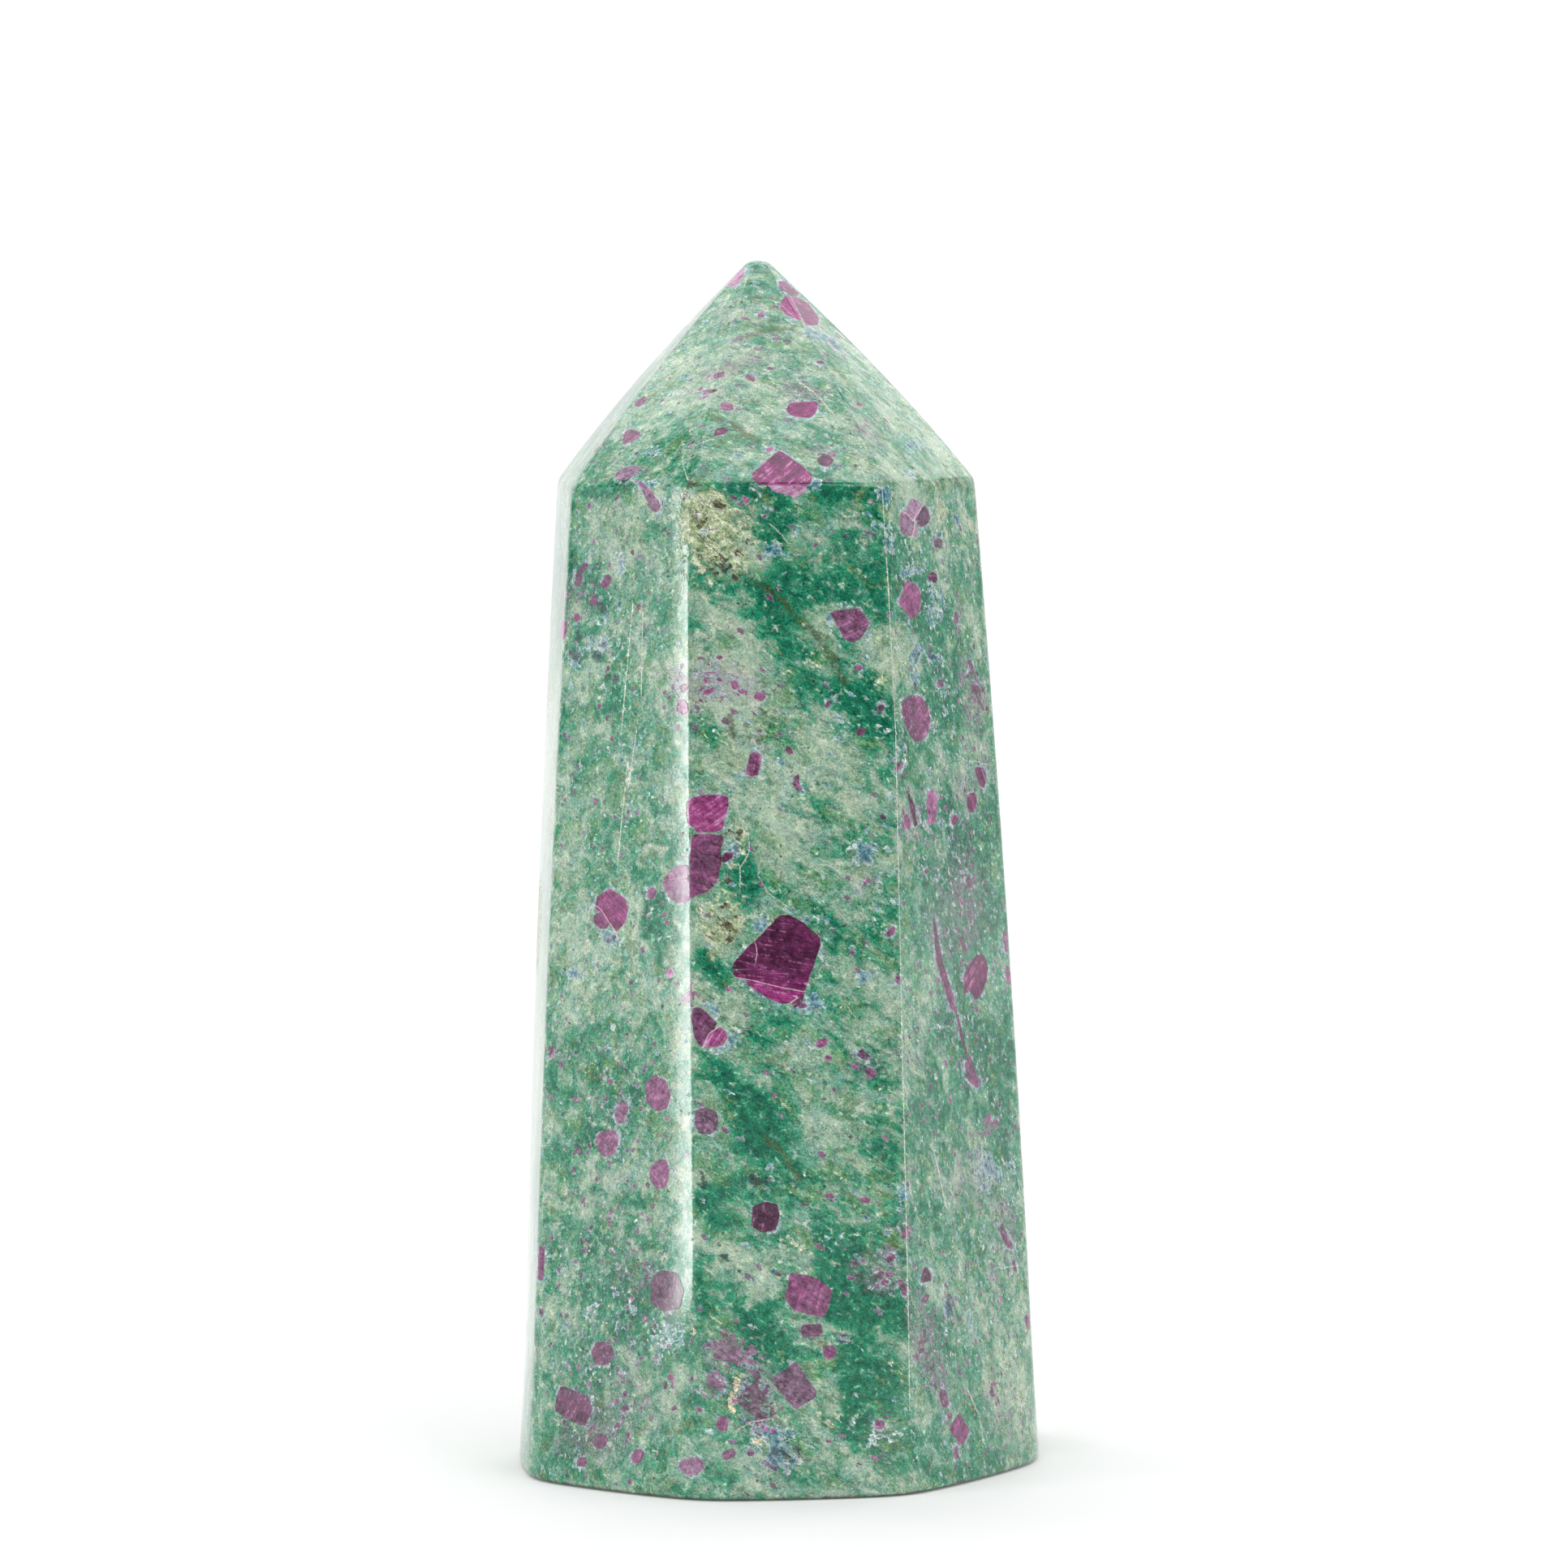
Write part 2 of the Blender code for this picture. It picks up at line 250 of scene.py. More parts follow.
# Ruby crystals of the photo by outline: tone (0 dark plum, 1 magenta, over 1 pink), how far they
# are clouded with pale mica, the lie of their growth lines in degrees, and the corners
RUBIES = {
    "tip_left_edge": (1.35, 0.3, 40, [(893, 352), (913, 332), (918, 331), (917, 340), (910, 350),
        (898, 354)]),
    "tip_wedge": (0.48, 0.0, -40, [(958, 347), (967, 346), (985, 361), (982, 364), (973, 363), (963, 357)]),
    "tip_right_pale": (0.9, 0.1, -45, [(963, 368), (970, 364), (975, 366), (984, 383), (989, 396),
        (980, 393), (967, 387), (961, 380)]),
    "tip_right": (0.66, 0.0, -45, [(975, 366), (983, 366), (995, 373), (1005, 385), (1010, 393),
        (1007, 401), (993, 401), (984, 383)]),
    "point_middle": (0.75, 0.0, 20, [(968, 503), (973, 497), (988, 495), (1007, 494), (1008, 500),
        (1005, 510), (997, 515), (980, 514), (971, 510)]),
    "point_small": (0.9, 0.2, 0, [(887, 500), (890, 495), (902, 497), (907, 502), (900, 507), (890, 506)]),
    "point_low": (0.35, 0.0, 25, [(877, 532), (887, 527), (893, 525), (898, 531), (893, 535), (880, 538)]),
    "point_left": (0.55, 0.2, 30, [(767, 540), (770, 532), (777, 528), (788, 532), (790, 537), (783, 542),
        (773, 547), (767, 547)]),
    "point_far_left": (0.15, 0.0, 40, [(730, 558), (735, 551), (741, 549), (739, 553), (733, 558)]),
    "shoulder_left_a": (0.42, 0.5, 30, [(757, 587), (762, 578), (780, 573), (793, 575), (787, 581),
        (780, 587), (770, 593), (762, 592)]),
    "shoulder_left_b": (0.55, 0.35, -55, [(785, 593), (790, 593), (803, 605), (813, 618), (815, 625),
        (810, 632), (803, 630), (793, 610)]),
    "shoulder_big": (0.68, 0.0, 42, [(925.5, 585), (941, 570), (960, 554), (973.5, 563), (990, 575),
        (1002, 585), (1000, 593), (997, 598), (951, 597.5), (936, 598), (928, 593)]),
    "shoulder_big_foot": (1.5, 0.4, 20, [(951, 597.5), (997, 598), (992, 605), (982, 613), (963, 609),
        (945, 600)]),
    "shoulder_small": (0.4, 0.1, 60, [(1006, 566), (1012, 560), (1022, 561), (1028, 567), (1024, 574),
        (1017, 576), (1010, 573)]),
    "shoulder_chip": (0.2, 0.1, -30, [(1005, 550), (1013, 550), (1019, 555), (1017, 558), (1008, 555)]),
    "cracked_top": (0.9, 0.5, 60, [(1124, 613), (1137, 621.5), (1126, 641), (1115.5, 627.5)]),
    "cracked_right": (0.25, 0.2, 50, [(1138, 622), (1144, 627.5), (1146, 638), (1144, 646), (1135, 650),
        (1126, 642)]),
    "cracked_left": (0.6, 0.4, 60, [(1114.5, 628.5), (1125, 642), (1128, 648), (1123, 661), (1116, 662),
        (1109.5, 655), (1107.5, 641), (1109.5, 631)]),
    "cracked_foot": (1.2, 0.6, 70, [(1129, 648), (1132, 653), (1131, 661), (1125, 664), (1124, 655)]),
    "right_striped": (0.78, 0.2, 45, [(1115, 715), (1121, 716), (1131, 722), (1135, 731), (1134, 751),
        (1129, 760), (1122, 763), (1115, 754), (1107.5, 743), (1110.5, 732)]),
    "right_dark": (0.3, 0.0, 0, [(1143, 708), (1149, 704), (1155, 708), (1155, 716), (1152, 721),
        (1147, 715), (1144, 717)]),
    "middle_upper": (0.6, 0.2, 25, [(1021, 753), (1030, 752), (1057, 749), (1066, 757), (1072, 769),
        (1062, 786), (1051, 793), (1040, 787), (1031, 770)]),
    "right_oval": (0.62, 0.2, 60, [(1110, 864), (1122, 856), (1136, 858), (1145, 873), (1147, 894),
        (1141, 909), (1130, 916), (1122, 909), (1113, 890)]),
    "right_streak_top": (0.4, 0.1, -70, [(1193, 824), (1200, 827), (1208, 848), (1213, 874), (1207, 880),
        (1199, 862), (1194, 842)]),
    "right_edge_a": (0.5, 0.1, -70, [(1201, 944), (1213, 946), (1216, 959), (1213, 973), (1207, 969),
        (1202, 955)]),
    "right_edge_b": (0.55, 0.1, -70, [(1191, 978), (1201, 976), (1205, 986), (1201, 1000), (1195, 1003),
        (1191, 994)]),
    "right_chip": (0.5, 0.1, 60, [(1172, 1003), (1181, 1005), (1181, 1011), (1176, 1019), (1171, 1013)]),
    "right_pink": (0.95, 0.3, 80, [(1143, 974), (1153, 973), (1156, 994), (1153, 1013), (1143, 1016),
        (1141, 994)]),
    "right_small_pink": (0.85, 0.2, -70, [(1113, 1005), (1118, 1002), (1123, 1015), (1120, 1024),
        (1115, 1019)]),
    "right_thin": (0.2, 0.05, -70, [(1115, 972), (1119, 972), (1127, 992), (1131, 1017), (1127, 1019),
        (1122, 1000)]),
    "magenta": (0.95, 0.1, 35, [(853, 983), (870, 978.5), (896, 980), (899, 985.5), (897, 998),
        (893, 1008), (892, 1020), (885, 1025.5), (870, 1026), (857, 1022), (848, 1017), (845, 1002),
        (846, 988)]),
    "under_magenta": (0.55, 0.15, -5, [(852, 1027), (891, 1028.5), (892, 1035), (889.5, 1045),
        (888, 1054), (888, 1068), (886, 1080), (883, 1087), (877, 1094), (872, 1100), (861, 1102),
        (852, 1108), (847, 1094), (849, 1060), (851, 1040)]),
    "left_lobe": (0.72, 0.3, 10, [(847, 1066), (849, 1080), (849, 1095), (852, 1108), (844, 1112),
        (834, 1113), (826, 1108), (819, 1098), (816, 1085), (824, 1074), (836, 1066)]),
    "right_lobe": (0.3, 0.0, 10, [(889, 1052), (895, 1050), (906, 1051), (907, 1054), (896, 1062),
        (889, 1063)]),
    "left_main": (0.82, 0.1, -50, [(733, 1114), (735, 1104), (743, 1099), (753, 1095), (763, 1102),
        (770, 1107), (774.5, 1117), (773, 1129), (769, 1140), (760, 1148), (749, 1137), (740, 1124),
        (734, 1121)]),
    "left_main_lobe": (0.5, 0.1, -50, [(730, 1132), (733, 1124), (740, 1126), (748, 1138), (750, 1146),
        (739, 1144), (731, 1138)]),
    "great": (0.38, 0.0, -8, [(900, 1196), (904.5, 1185), (921, 1167), (931, 1158), (949, 1140),
        (957.5, 1130), (963, 1127), (972, 1127), (982, 1132), (992, 1138), (1002, 1147), (1011, 1155),
        (1012, 1163), (1006.5, 1179), (998, 1204), (963, 1199), (931, 1193)]),
    "great_band": (0.62, 0.0, -8, [(900, 1196), (931, 1193), (963, 1199), (998, 1204), (995, 1212),
        (993, 1221), (966, 1217), (951, 1213.5), (930, 1208), (905, 1204)]),
    "great_bright": (0.95, 0.0, -12, [(906, 1205), (930, 1209), (951, 1214.5), (966, 1218), (992, 1222.5),
        (985, 1227), (969, 1238), (960.5, 1236.5), (945, 1230), (931, 1221), (914, 1209)]),
    "great_corner": (0.35, 0.1, 30, [(992, 1223), (988, 1236.5), (980, 1243), (972, 1239), (985, 1228)]),
    "low_hazed": (0.75, 0.2, 20, [(839, 1223), (843, 1218), (850, 1218), (858, 1222), (866, 1229),
        (863, 1235), (854, 1236), (848, 1238), (840, 1233)]),
    "wedge_dark": (0.5, 0.15, 55, [(850.5, 1253.5), (854, 1241), (861, 1239), (869, 1245), (877, 1253.5),
        (886.8, 1264), (873, 1274), (866, 1290), (861, 1289), (856, 1280), (853.5, 1268)]),
    "wedge_bright": (1.3, 0.15, 55, [(887, 1264), (895.5, 1272), (897.5, 1280), (891, 1288), (881, 1290),
        (867, 1291.5), (873, 1274)]),
    "right_low": (0.55, 0.0, 60, [(1187, 1205), (1191, 1190), (1203, 1176), (1213, 1177), (1218, 1190),
        (1215, 1213), (1207, 1230), (1201, 1232), (1195, 1221), (1188, 1226)]),
    "long_streak": (0.4, 0.1, -75, [(1149, 1130), (1153, 1132), (1157, 1163), (1166, 1198), (1174, 1225),
        (1179, 1244), (1172, 1245), (1161, 1213), (1153, 1182)]),
    "long_streak_thin": (0.35, 0.05, -75, [(1174, 1240), (1178, 1240), (1186, 1270), (1192, 1298),
        (1189, 1300), (1182, 1272)]),
    "long_streak_end": (0.45, 0.2, -75, [(1189, 1312), (1191, 1298), (1195, 1300), (1202, 1315),
        (1209, 1338), (1204, 1342), (1191, 1329)]),
    "left_low_a": (0.7, 0.25, 60, [(795, 1335), (805, 1324), (820, 1330), (828, 1350), (822, 1368),
        (808, 1370), (796, 1358)]),
    "left_low_b": (0.7, 0.35, 70, [(757, 1370), (764, 1356), (773, 1357), (775, 1368), (768, 1385),
        (759, 1384)]),
    "left_low_c": (0.68, 0.3, 40, [(734, 1400), (744, 1391), (758, 1392), (763, 1405), (756, 1424),
        (744, 1426), (736, 1418)]),
    "left_low_d": (0.72, 0.25, 50, [(800, 1440), (810, 1429), (822, 1428), (826, 1445), (822, 1463),
        (810, 1466), (801, 1456)]),
    "low_dark_a": (0.2, 0.28, 70, [(857, 1368), (870, 1364), (884, 1370), (885, 1388), (878, 1398),
        (862, 1397), (855, 1385)]),
    "low_dark_b": (0.15, 0.05, 80, [(927, 1486), (943, 1480), (958, 1484), (961, 1500), (956, 1516),
        (940, 1520), (926, 1512)]),
    "low_grey": (0.12, 0.22, 70, [(802, 1575), (815, 1564), (835, 1568), (843, 1590), (838, 1612),
        (818, 1616), (800, 1605)]),
    "low_striped": (0.7, 0.2, 75, [(973, 1568), (990, 1570), (1008, 1574), (1026, 1591), (1022, 1607),
        (1015, 1624), (996, 1620), (977, 1614), (967, 1600)]),
    "low_right_dark": (0.15, 0.1, 70, [(1134, 1581), (1136, 1565), (1141, 1560), (1149, 1571),
        (1147, 1579)]),
    "foot_striped": (0.35, 0.3, 30, [(981, 1677), (993, 1695), (1007, 1715), (1006, 1721), (981, 1737),
        (966, 1722), (951, 1705), (953, 1696)]),
    "foot_left": (0.35, 0.15, 60, [(691, 1706), (726, 1721), (730, 1738), (721, 1758), (700, 1750),
        (683, 1738), (686, 1720)]),
    "foot_hexagon": (0.35, 0.2, 0, [(727, 1668), (735, 1652), (752, 1654), (758, 1667), (750, 1682),
        (734, 1682)]),
    "foot_mottled_a": (0.55, 0.3, 0, [(870, 1655), (890, 1640), (905, 1645), (915, 1655), (932, 1662),
        (920, 1685), (895, 1688), (880, 1672)]),
    "foot_mottled_b": (0.5, 0.25, 60, [(864, 1700), (876, 1690), (892, 1697), (893, 1713), (880, 1722),
        (866, 1714)]),
    "foot_mottled_c": (0.25, 0.1, 80, [(916, 1705), (926, 1690), (944, 1692), (950, 1715), (948, 1745),
        (935, 1760), (918, 1750), (912, 1728)]),
    "foot_fan": (0.72, 0.15, 65, [(1169, 1760), (1182, 1740), (1186, 1746), (1195, 1763), (1190, 1775),
        (1184, 1781), (1172, 1767)]),
    "foot_oval": (0.6, 0.35, 10, [(834, 1805), (845, 1795), (860, 1795), (871, 1804), (864, 1816),
        (845, 1819)]),
    "right_cracked_low": (0.85, 0.2, 60, [(1209, 1385), (1218, 1377), (1226, 1378), (1227, 1388),
        (1220, 1398), (1213, 1404), (1208, 1392)]),
    "right_edge_streak": (0.4, 0.15, -60, [(1230, 1508), (1236, 1507), (1241, 1523), (1249, 1535),
        (1248, 1540), (1241, 1538), (1234, 1525)]),
    "column_a": (0.4, 0.1, 60, [(1130, 1655), (1138, 1640), (1143, 1648), (1139, 1662), (1132, 1663)]),
    "column_b": (0.3, 0.1, 70, [(1141, 1690), (1147, 1685), (1151, 1696), (1153, 1715), (1144, 1708)]),
}

# These of them are loose clusters of grains
BROKEN_RUBIES = {
    "foot_mottled_a", "foot_mottled_b", "foot_mottled_c", "right_cracked_low", "low_hazed",
    "column_a", "column_b", "shoulder_chip", "right_streak_top",
}

# Small ruby crystals of the photo: across, down, half length, half width, tilt in degrees, tone
SMALL_RUBIES = [
    (948, 554, 5, 3, 20, 0.8), (924, 466, 7, 3.5, -20, 0.75), (938, 388, 5, 3.5, 0, 0.7),
    (717, 702, 11, 4, 55, 0.4), (713, 716, 7, 4, 75, 0.4), (747, 717, 10, 5, 60, 0.5),
    (732, 740, 8, 4.5, 70, 0.5), (711, 761, 6, 4, -70, 0.9), (694, 776, 12, 4, 85, 0.8),
    (841, 871, 9, 7, 80, 0.95), (843, 847, 6, 4, 30, 0.8), (936, 859, 8, 4.5, -30, 0.95),
    (915, 852, 8, 3, -30, 0.7), (929, 942, 16, 8, 80, 0.7), (980, 965, 6, 4, -40, 0.5),
    (984, 972, 5, 3, -30, 0.7), (1060, 902, 7, 5, 10, 0.55), (1057, 823, 6, 4, 0, 0.85),
    (1085, 873, 6, 4, 60, 0.4), (1159, 842, 5, 5, 0, 0.4), (1108, 944, 7, 4, 60, 0.3),
    (1141, 1075, 4, 3.5, 80, 0.6), (1195, 1088, 7, 4, -60, 0.3), (1187, 1080, 4, 2.5, -60, 0.4),
    (803.5, 1101, 8, 6, 80, 0.6), (825, 1199, 7, 4.5, 70, 1.3), (1013, 1285, 8, 5, 20, 0.7),
    (1066, 1479, 7, 4, -20, 0.8), (1073, 1322, 9, 5, -30, 0.4), (1064, 1300, 8, 5, -40, 0.3),
    (751, 1333, 4, 3, 0, 0.8), (1098, 1148, 7, 4, 60, 0.7), (1106, 1207, 5, 3, 70, 0.6),
    (1000, 1639, 14, 8, 0, 0.45), (1022, 1666, 9, 8, 70, 0.65), (1039, 1646, 4, 3, 0, 0.6),
    (890, 1754, 10, 7, 80, 0.8), (898, 1792, 9, 6, 20, 0.4), (740, 1776, 10, 8, 60, 0.5),
    (786, 1794, 10, 7, 70, 0.6), (717, 1801, 7, 6, 0, 0.5), (1084, 1755, 7, 6, 0, 0.9),
    (1084, 1571, 7, 4, 20, 0.3), (1097, 1550, 7, 5, 30, 0.35), (1090, 1581, 6, 4, 0, 0.3),
    (1112, 1586, 11, 4, -70, 0.35), (1113, 1519, 7, 3, -80, 0.4), (1163, 1723, 12, 5, -75, 0.4),
    (1130, 1671, 6, 2.5, -80, 0.6), (1242, 1201, 12, 3, -84, 0.8), (1239, 1158, 16, 2.5, -84, 0.6),
    (1266, 1629, 10, 3, -84, 0.6), (1187, 1165, 12, 3, -75, 0.4), (667, 1556, 22, 4, 88, 0.6),
    (667, 1617, 6, 3, 88, 0.6), (1118, 1520, 5, 3, 0, 0.5), (1010, 446, 5, 2.5, 0, 0.7),
    (1058, 498, 5, 2.5, -30, 0.8), (886, 462, 8, 3, 15, 0.75), (1146, 1023, 3, 2.5, 0, 0.6),
    (875, 482, 10, 2.5, 10, 0.7), (790, 495, 9, 4, 30, 0.6), (1170, 1745, 6, 3, -70, 0.5),
    (1140, 1600, 7, 4, 60, 0.3), (905, 1727, 4, 3, 0, 0.7), (976, 500, 3, 2, 0, 0.7),
    (1250, 1560, 10, 2, -80, 0.5), (680, 1296, 8, 3, 85, 0.6), (975, 1500, 3, 2, 0, 0.5),
    (770, 1735, 6, 4, 30, 0.4), (761, 1756, 5, 4, 0, 0.4), (830, 1735, 5, 3, 20, 0.5),
    (925, 1790, 5, 4, 0, 0.5), (1016, 1353, 4, 3, 0, 0.5), (1222, 1715, 7, 3, -70, 0.5),
    (1178, 1790, 9, 3, -80, 0.5), (1195, 818, 7, 3, -70, 0.3), (1178, 762, 9, 2.5, 85, 0.3),
    (1173, 900, 3, 2, 0, 0.6), (1192, 1031, 3, 2, 0, 0.6), (867, 813, 9, 3, -10, 0.9),
    (887, 810, 5, 2.5, -10, 0.8), (871, 831, 13, 2.5, 6, 0.9), (898, 838, 10, 2.5, -14, 0.8),
    (875, 851, 10, 3.5, 24, 0.9), (888, 862, 7, 2.5, 55, 0.8), (906, 846, 6, 2.5, 40, 0.7),
    (936, 901, 4, 3, 0, 0.6), (934, 913, 4, 3, 0, 0.7), (1005, 671, 5, 2.5, 60, 0.5),
    (941, 638, 5, 3, 20, 0.6), (1032, 861, 4, 3, 0, 0.5), (1156, 669, 6, 6, 0, 0.1),
    (982, 958, 5, 4, 60, 0.5), (1020, 868, 6, 3, 70, 0.5),
]

# Broad zones of the rock in the photo: across, down, half width, half height, tilt, strength.
# Green is above nought where fuchsite is deep emerald and below it where the rock is pale.
GREEN_ZONES = [
    (960, 660, 24, 45, -15, 1.0), (990, 722, 48, 28, 0, 1.0), (955, 757, 30, 30, 0, 0.8),
    (980, 806, 28, 16, 0, 0.8), (1013, 858, 30, 20, 20, 0.9), (1065, 850, 26, 55, -20, 0.85),
    (1080, 730, 13, 26, 0, 0.8), (1045, 615, 38, 18, 0, 0.75), (1060, 672, 38, 35, 0, 0.45),
    (925, 1085, 17, 34, 0, 0.9), (885, 1199, 26, 19, 20, 0.85), (885, 1321, 32, 22, 20, 0.9),
    (930, 1368, 42, 34, 30, 0.95), (883, 1468, 24, 14, 0, 0.6), (898, 1505, 20, 15, 0, 0.8),
    (960, 1440, 42, 50, 0, 0.5), (1030, 1565, 20, 60, -15, 0.75), (1070, 1612, 58, 34, 20, 0.95),
    (1065, 1702, 36, 46, 0, 0.8), (935, 1638, 23, 30, 0, 0.7), (866, 1590, 14, 32, 0, 0.6),
    (1050, 1745, 26, 20, 0, 0.6), (890, 1812, 22, 14, 0, 0.5), (1185, 1056, 30, 40, 0, 0.35),
    (1215, 1140, 25, 34, 0, 0.4), (720, 705, 24, 22, 0, 0.8), (742, 735, 18, 20, 0, 0.8),
    (760, 830, 18, 42, 0, 0.7), (715, 790, 22, 30, 0, 0.8), (795, 660, 24, 15, 0, 0.6),
    (813, 1150, 18, 48, 0, 0.6), (790, 1085, 16, 24, 0, 0.4), (1078, 1322, 26, 26, 0, 0.6),
    (1090, 1432, 28, 22, 0, 0.4), (790, 1480, 16, 13, 0, 0.6), (780, 1525, 16, 14, 0, 0.6),
    (1105, 675, 14, 22, 0, 0.5), (1150, 680, 15, 25, 0, 0.3), (982, 985, 15, 20, 0, 0.4),
    (1040, 1045, 22, 15, 0, 0.3), (748, 603, 20, 16, 0, 0.6), (1155, 790, 40, 25, 0, 0.25),
    (920, 740, 40, 30, 0, 0.3), (1020, 1180, 20, 60, 0, 0.3), (940, 1260, 30, 20, 0, 0.4),
    (700, 1790, 35, 25, 0, 0.35), (1130, 1790, 50, 25, 0, 0.35), (1240, 1310, 12, 60, 0, 0.4),
    (1240, 1410, 14, 30, 0, 0.4), (905, 600, 30, 12, 0, 0.5), (860, 560, 50, 18, -15, 0.15),
    (908, 940, 60, 22, 0, -0.7), (950, 1012, 40, 46, 0, -0.6), (1015, 915, 32, 44, 0, -0.55),
    (980, 690, 22, 14, 20, -0.7), (1043, 634, 22, 12, 30, -0.6), (1090, 800, 36, 24, 0, -0.6),
    (735, 1190, 55, 60, 0, -0.45), (700, 1050, 24, 120, 0, -0.35), (980, 1292, 42, 18, 0, -0.7),
    (1110, 1250, 30, 60, 0, -0.4), (1165, 1425, 32, 42, 0, -0.4), (980, 1545, 26, 30, 0, -0.7),
    (1190, 1560, 50, 80, 0, -0.35), (1243, 1695, 26, 80, 0, -0.5), (1018, 1742, 28, 34, 0, -0.7),
    (775, 760, 30, 30, 0, 0.4), (735, 870, 30, 24, 0, 0.4), (1150, 880, 36, 50, 0, 0.4),
    (1155, 1010, 30, 40, 0, 0.3), (1130, 740, 20, 40, 0, 0.4), (1050, 1452, 30, 24, 0, -0.4),
    (1060, 1372, 30, 20, 0, -0.4), (930, 1592, 16, 20, 0, -0.6), (985, 1796, 22, 13, 0, -0.8),
    (1155, 628, 11, 18, 0, -1.0), (890, 1250, 30, 30, 0, -0.35), (755, 1500, 60, 60, 0, -0.4),
    (1100, 500, 70, 45, 45, -0.7), (905, 865, 34, 46, 0, -1.0), (1185, 1350, 60, 330, 0, 0.3),
    (740, 1450, 70, 260, 0, 0.18), (1180, 1180, 30, 100, 0, 0.2), (1000, 880, 30, 50, 20, -0.3),
    (930, 800, 40, 30, 0, -0.4), (1150, 640, 40, 60, 0, -0.4), (935, 350, 30, 25, 0, 0.2),
    (930, 440, 60, 70, 0, -0.4), (850, 470, 60, 40, -40, -0.3), (1000, 380, 40, 40, 45, -0.4),
    (760, 1690, 80, 130, 0, 0.25), (985, 1560, 110, 90, 0, 0.24), (990, 1725, 110, 90, 0, 0.24),
    (770, 760, 60, 150, 0, -0.3), (975, 985, 110, 130, 0, -0.18), (1170, 1075, 60, 170, 0, 0.12),
    (985, 1360, 110, 110, 0, -0.12), (1195, 1690, 60, 120, 0, 0.1), (1155, 700, 14, 40, 0, -0.5),
    (1150, 945, 14, 24, 0, -0.6), (1160, 1045, 10, 25, 0, -0.5), (1205, 1245, 20, 12, 0, -0.6),
    (740, 560, 30, 10, -40, 0.3), (800, 620, 20, 20, 0, -0.1),
]
CREAM_ZONES = [
    (888, 665, 46, 46, 20, 1.0), (868, 616, 34, 20, 30, 0.8), (893, 1135, 24, 42, 0, 0.95),
    (905, 1040, 16, 30, 10, 0.6), (900, 912, 14, 14, 0, 0.5), (1100, 820, 20, 20, 0, 0.6),
    (980, 1545, 22, 24, 0, 0.5), (1018, 1745, 22, 26, 0, 0.6), (1243, 1700, 22, 50, 0, 0.5),
    (1050, 640, 16, 10, 20, 0.5), (810, 690, 20, 14, 0, 0.3), (845, 650, 22, 22, 0, 0.6),
    (985, 1796, 18, 10, 0, 0.6), (1160, 628, 11, 16, 0, 0.8), (760, 780, 22, 12, 0, 0.4),
    (1005, 815, 12, 30, 30, 0.35), (900, 1255, 30, 10, 30, 0.5),
]
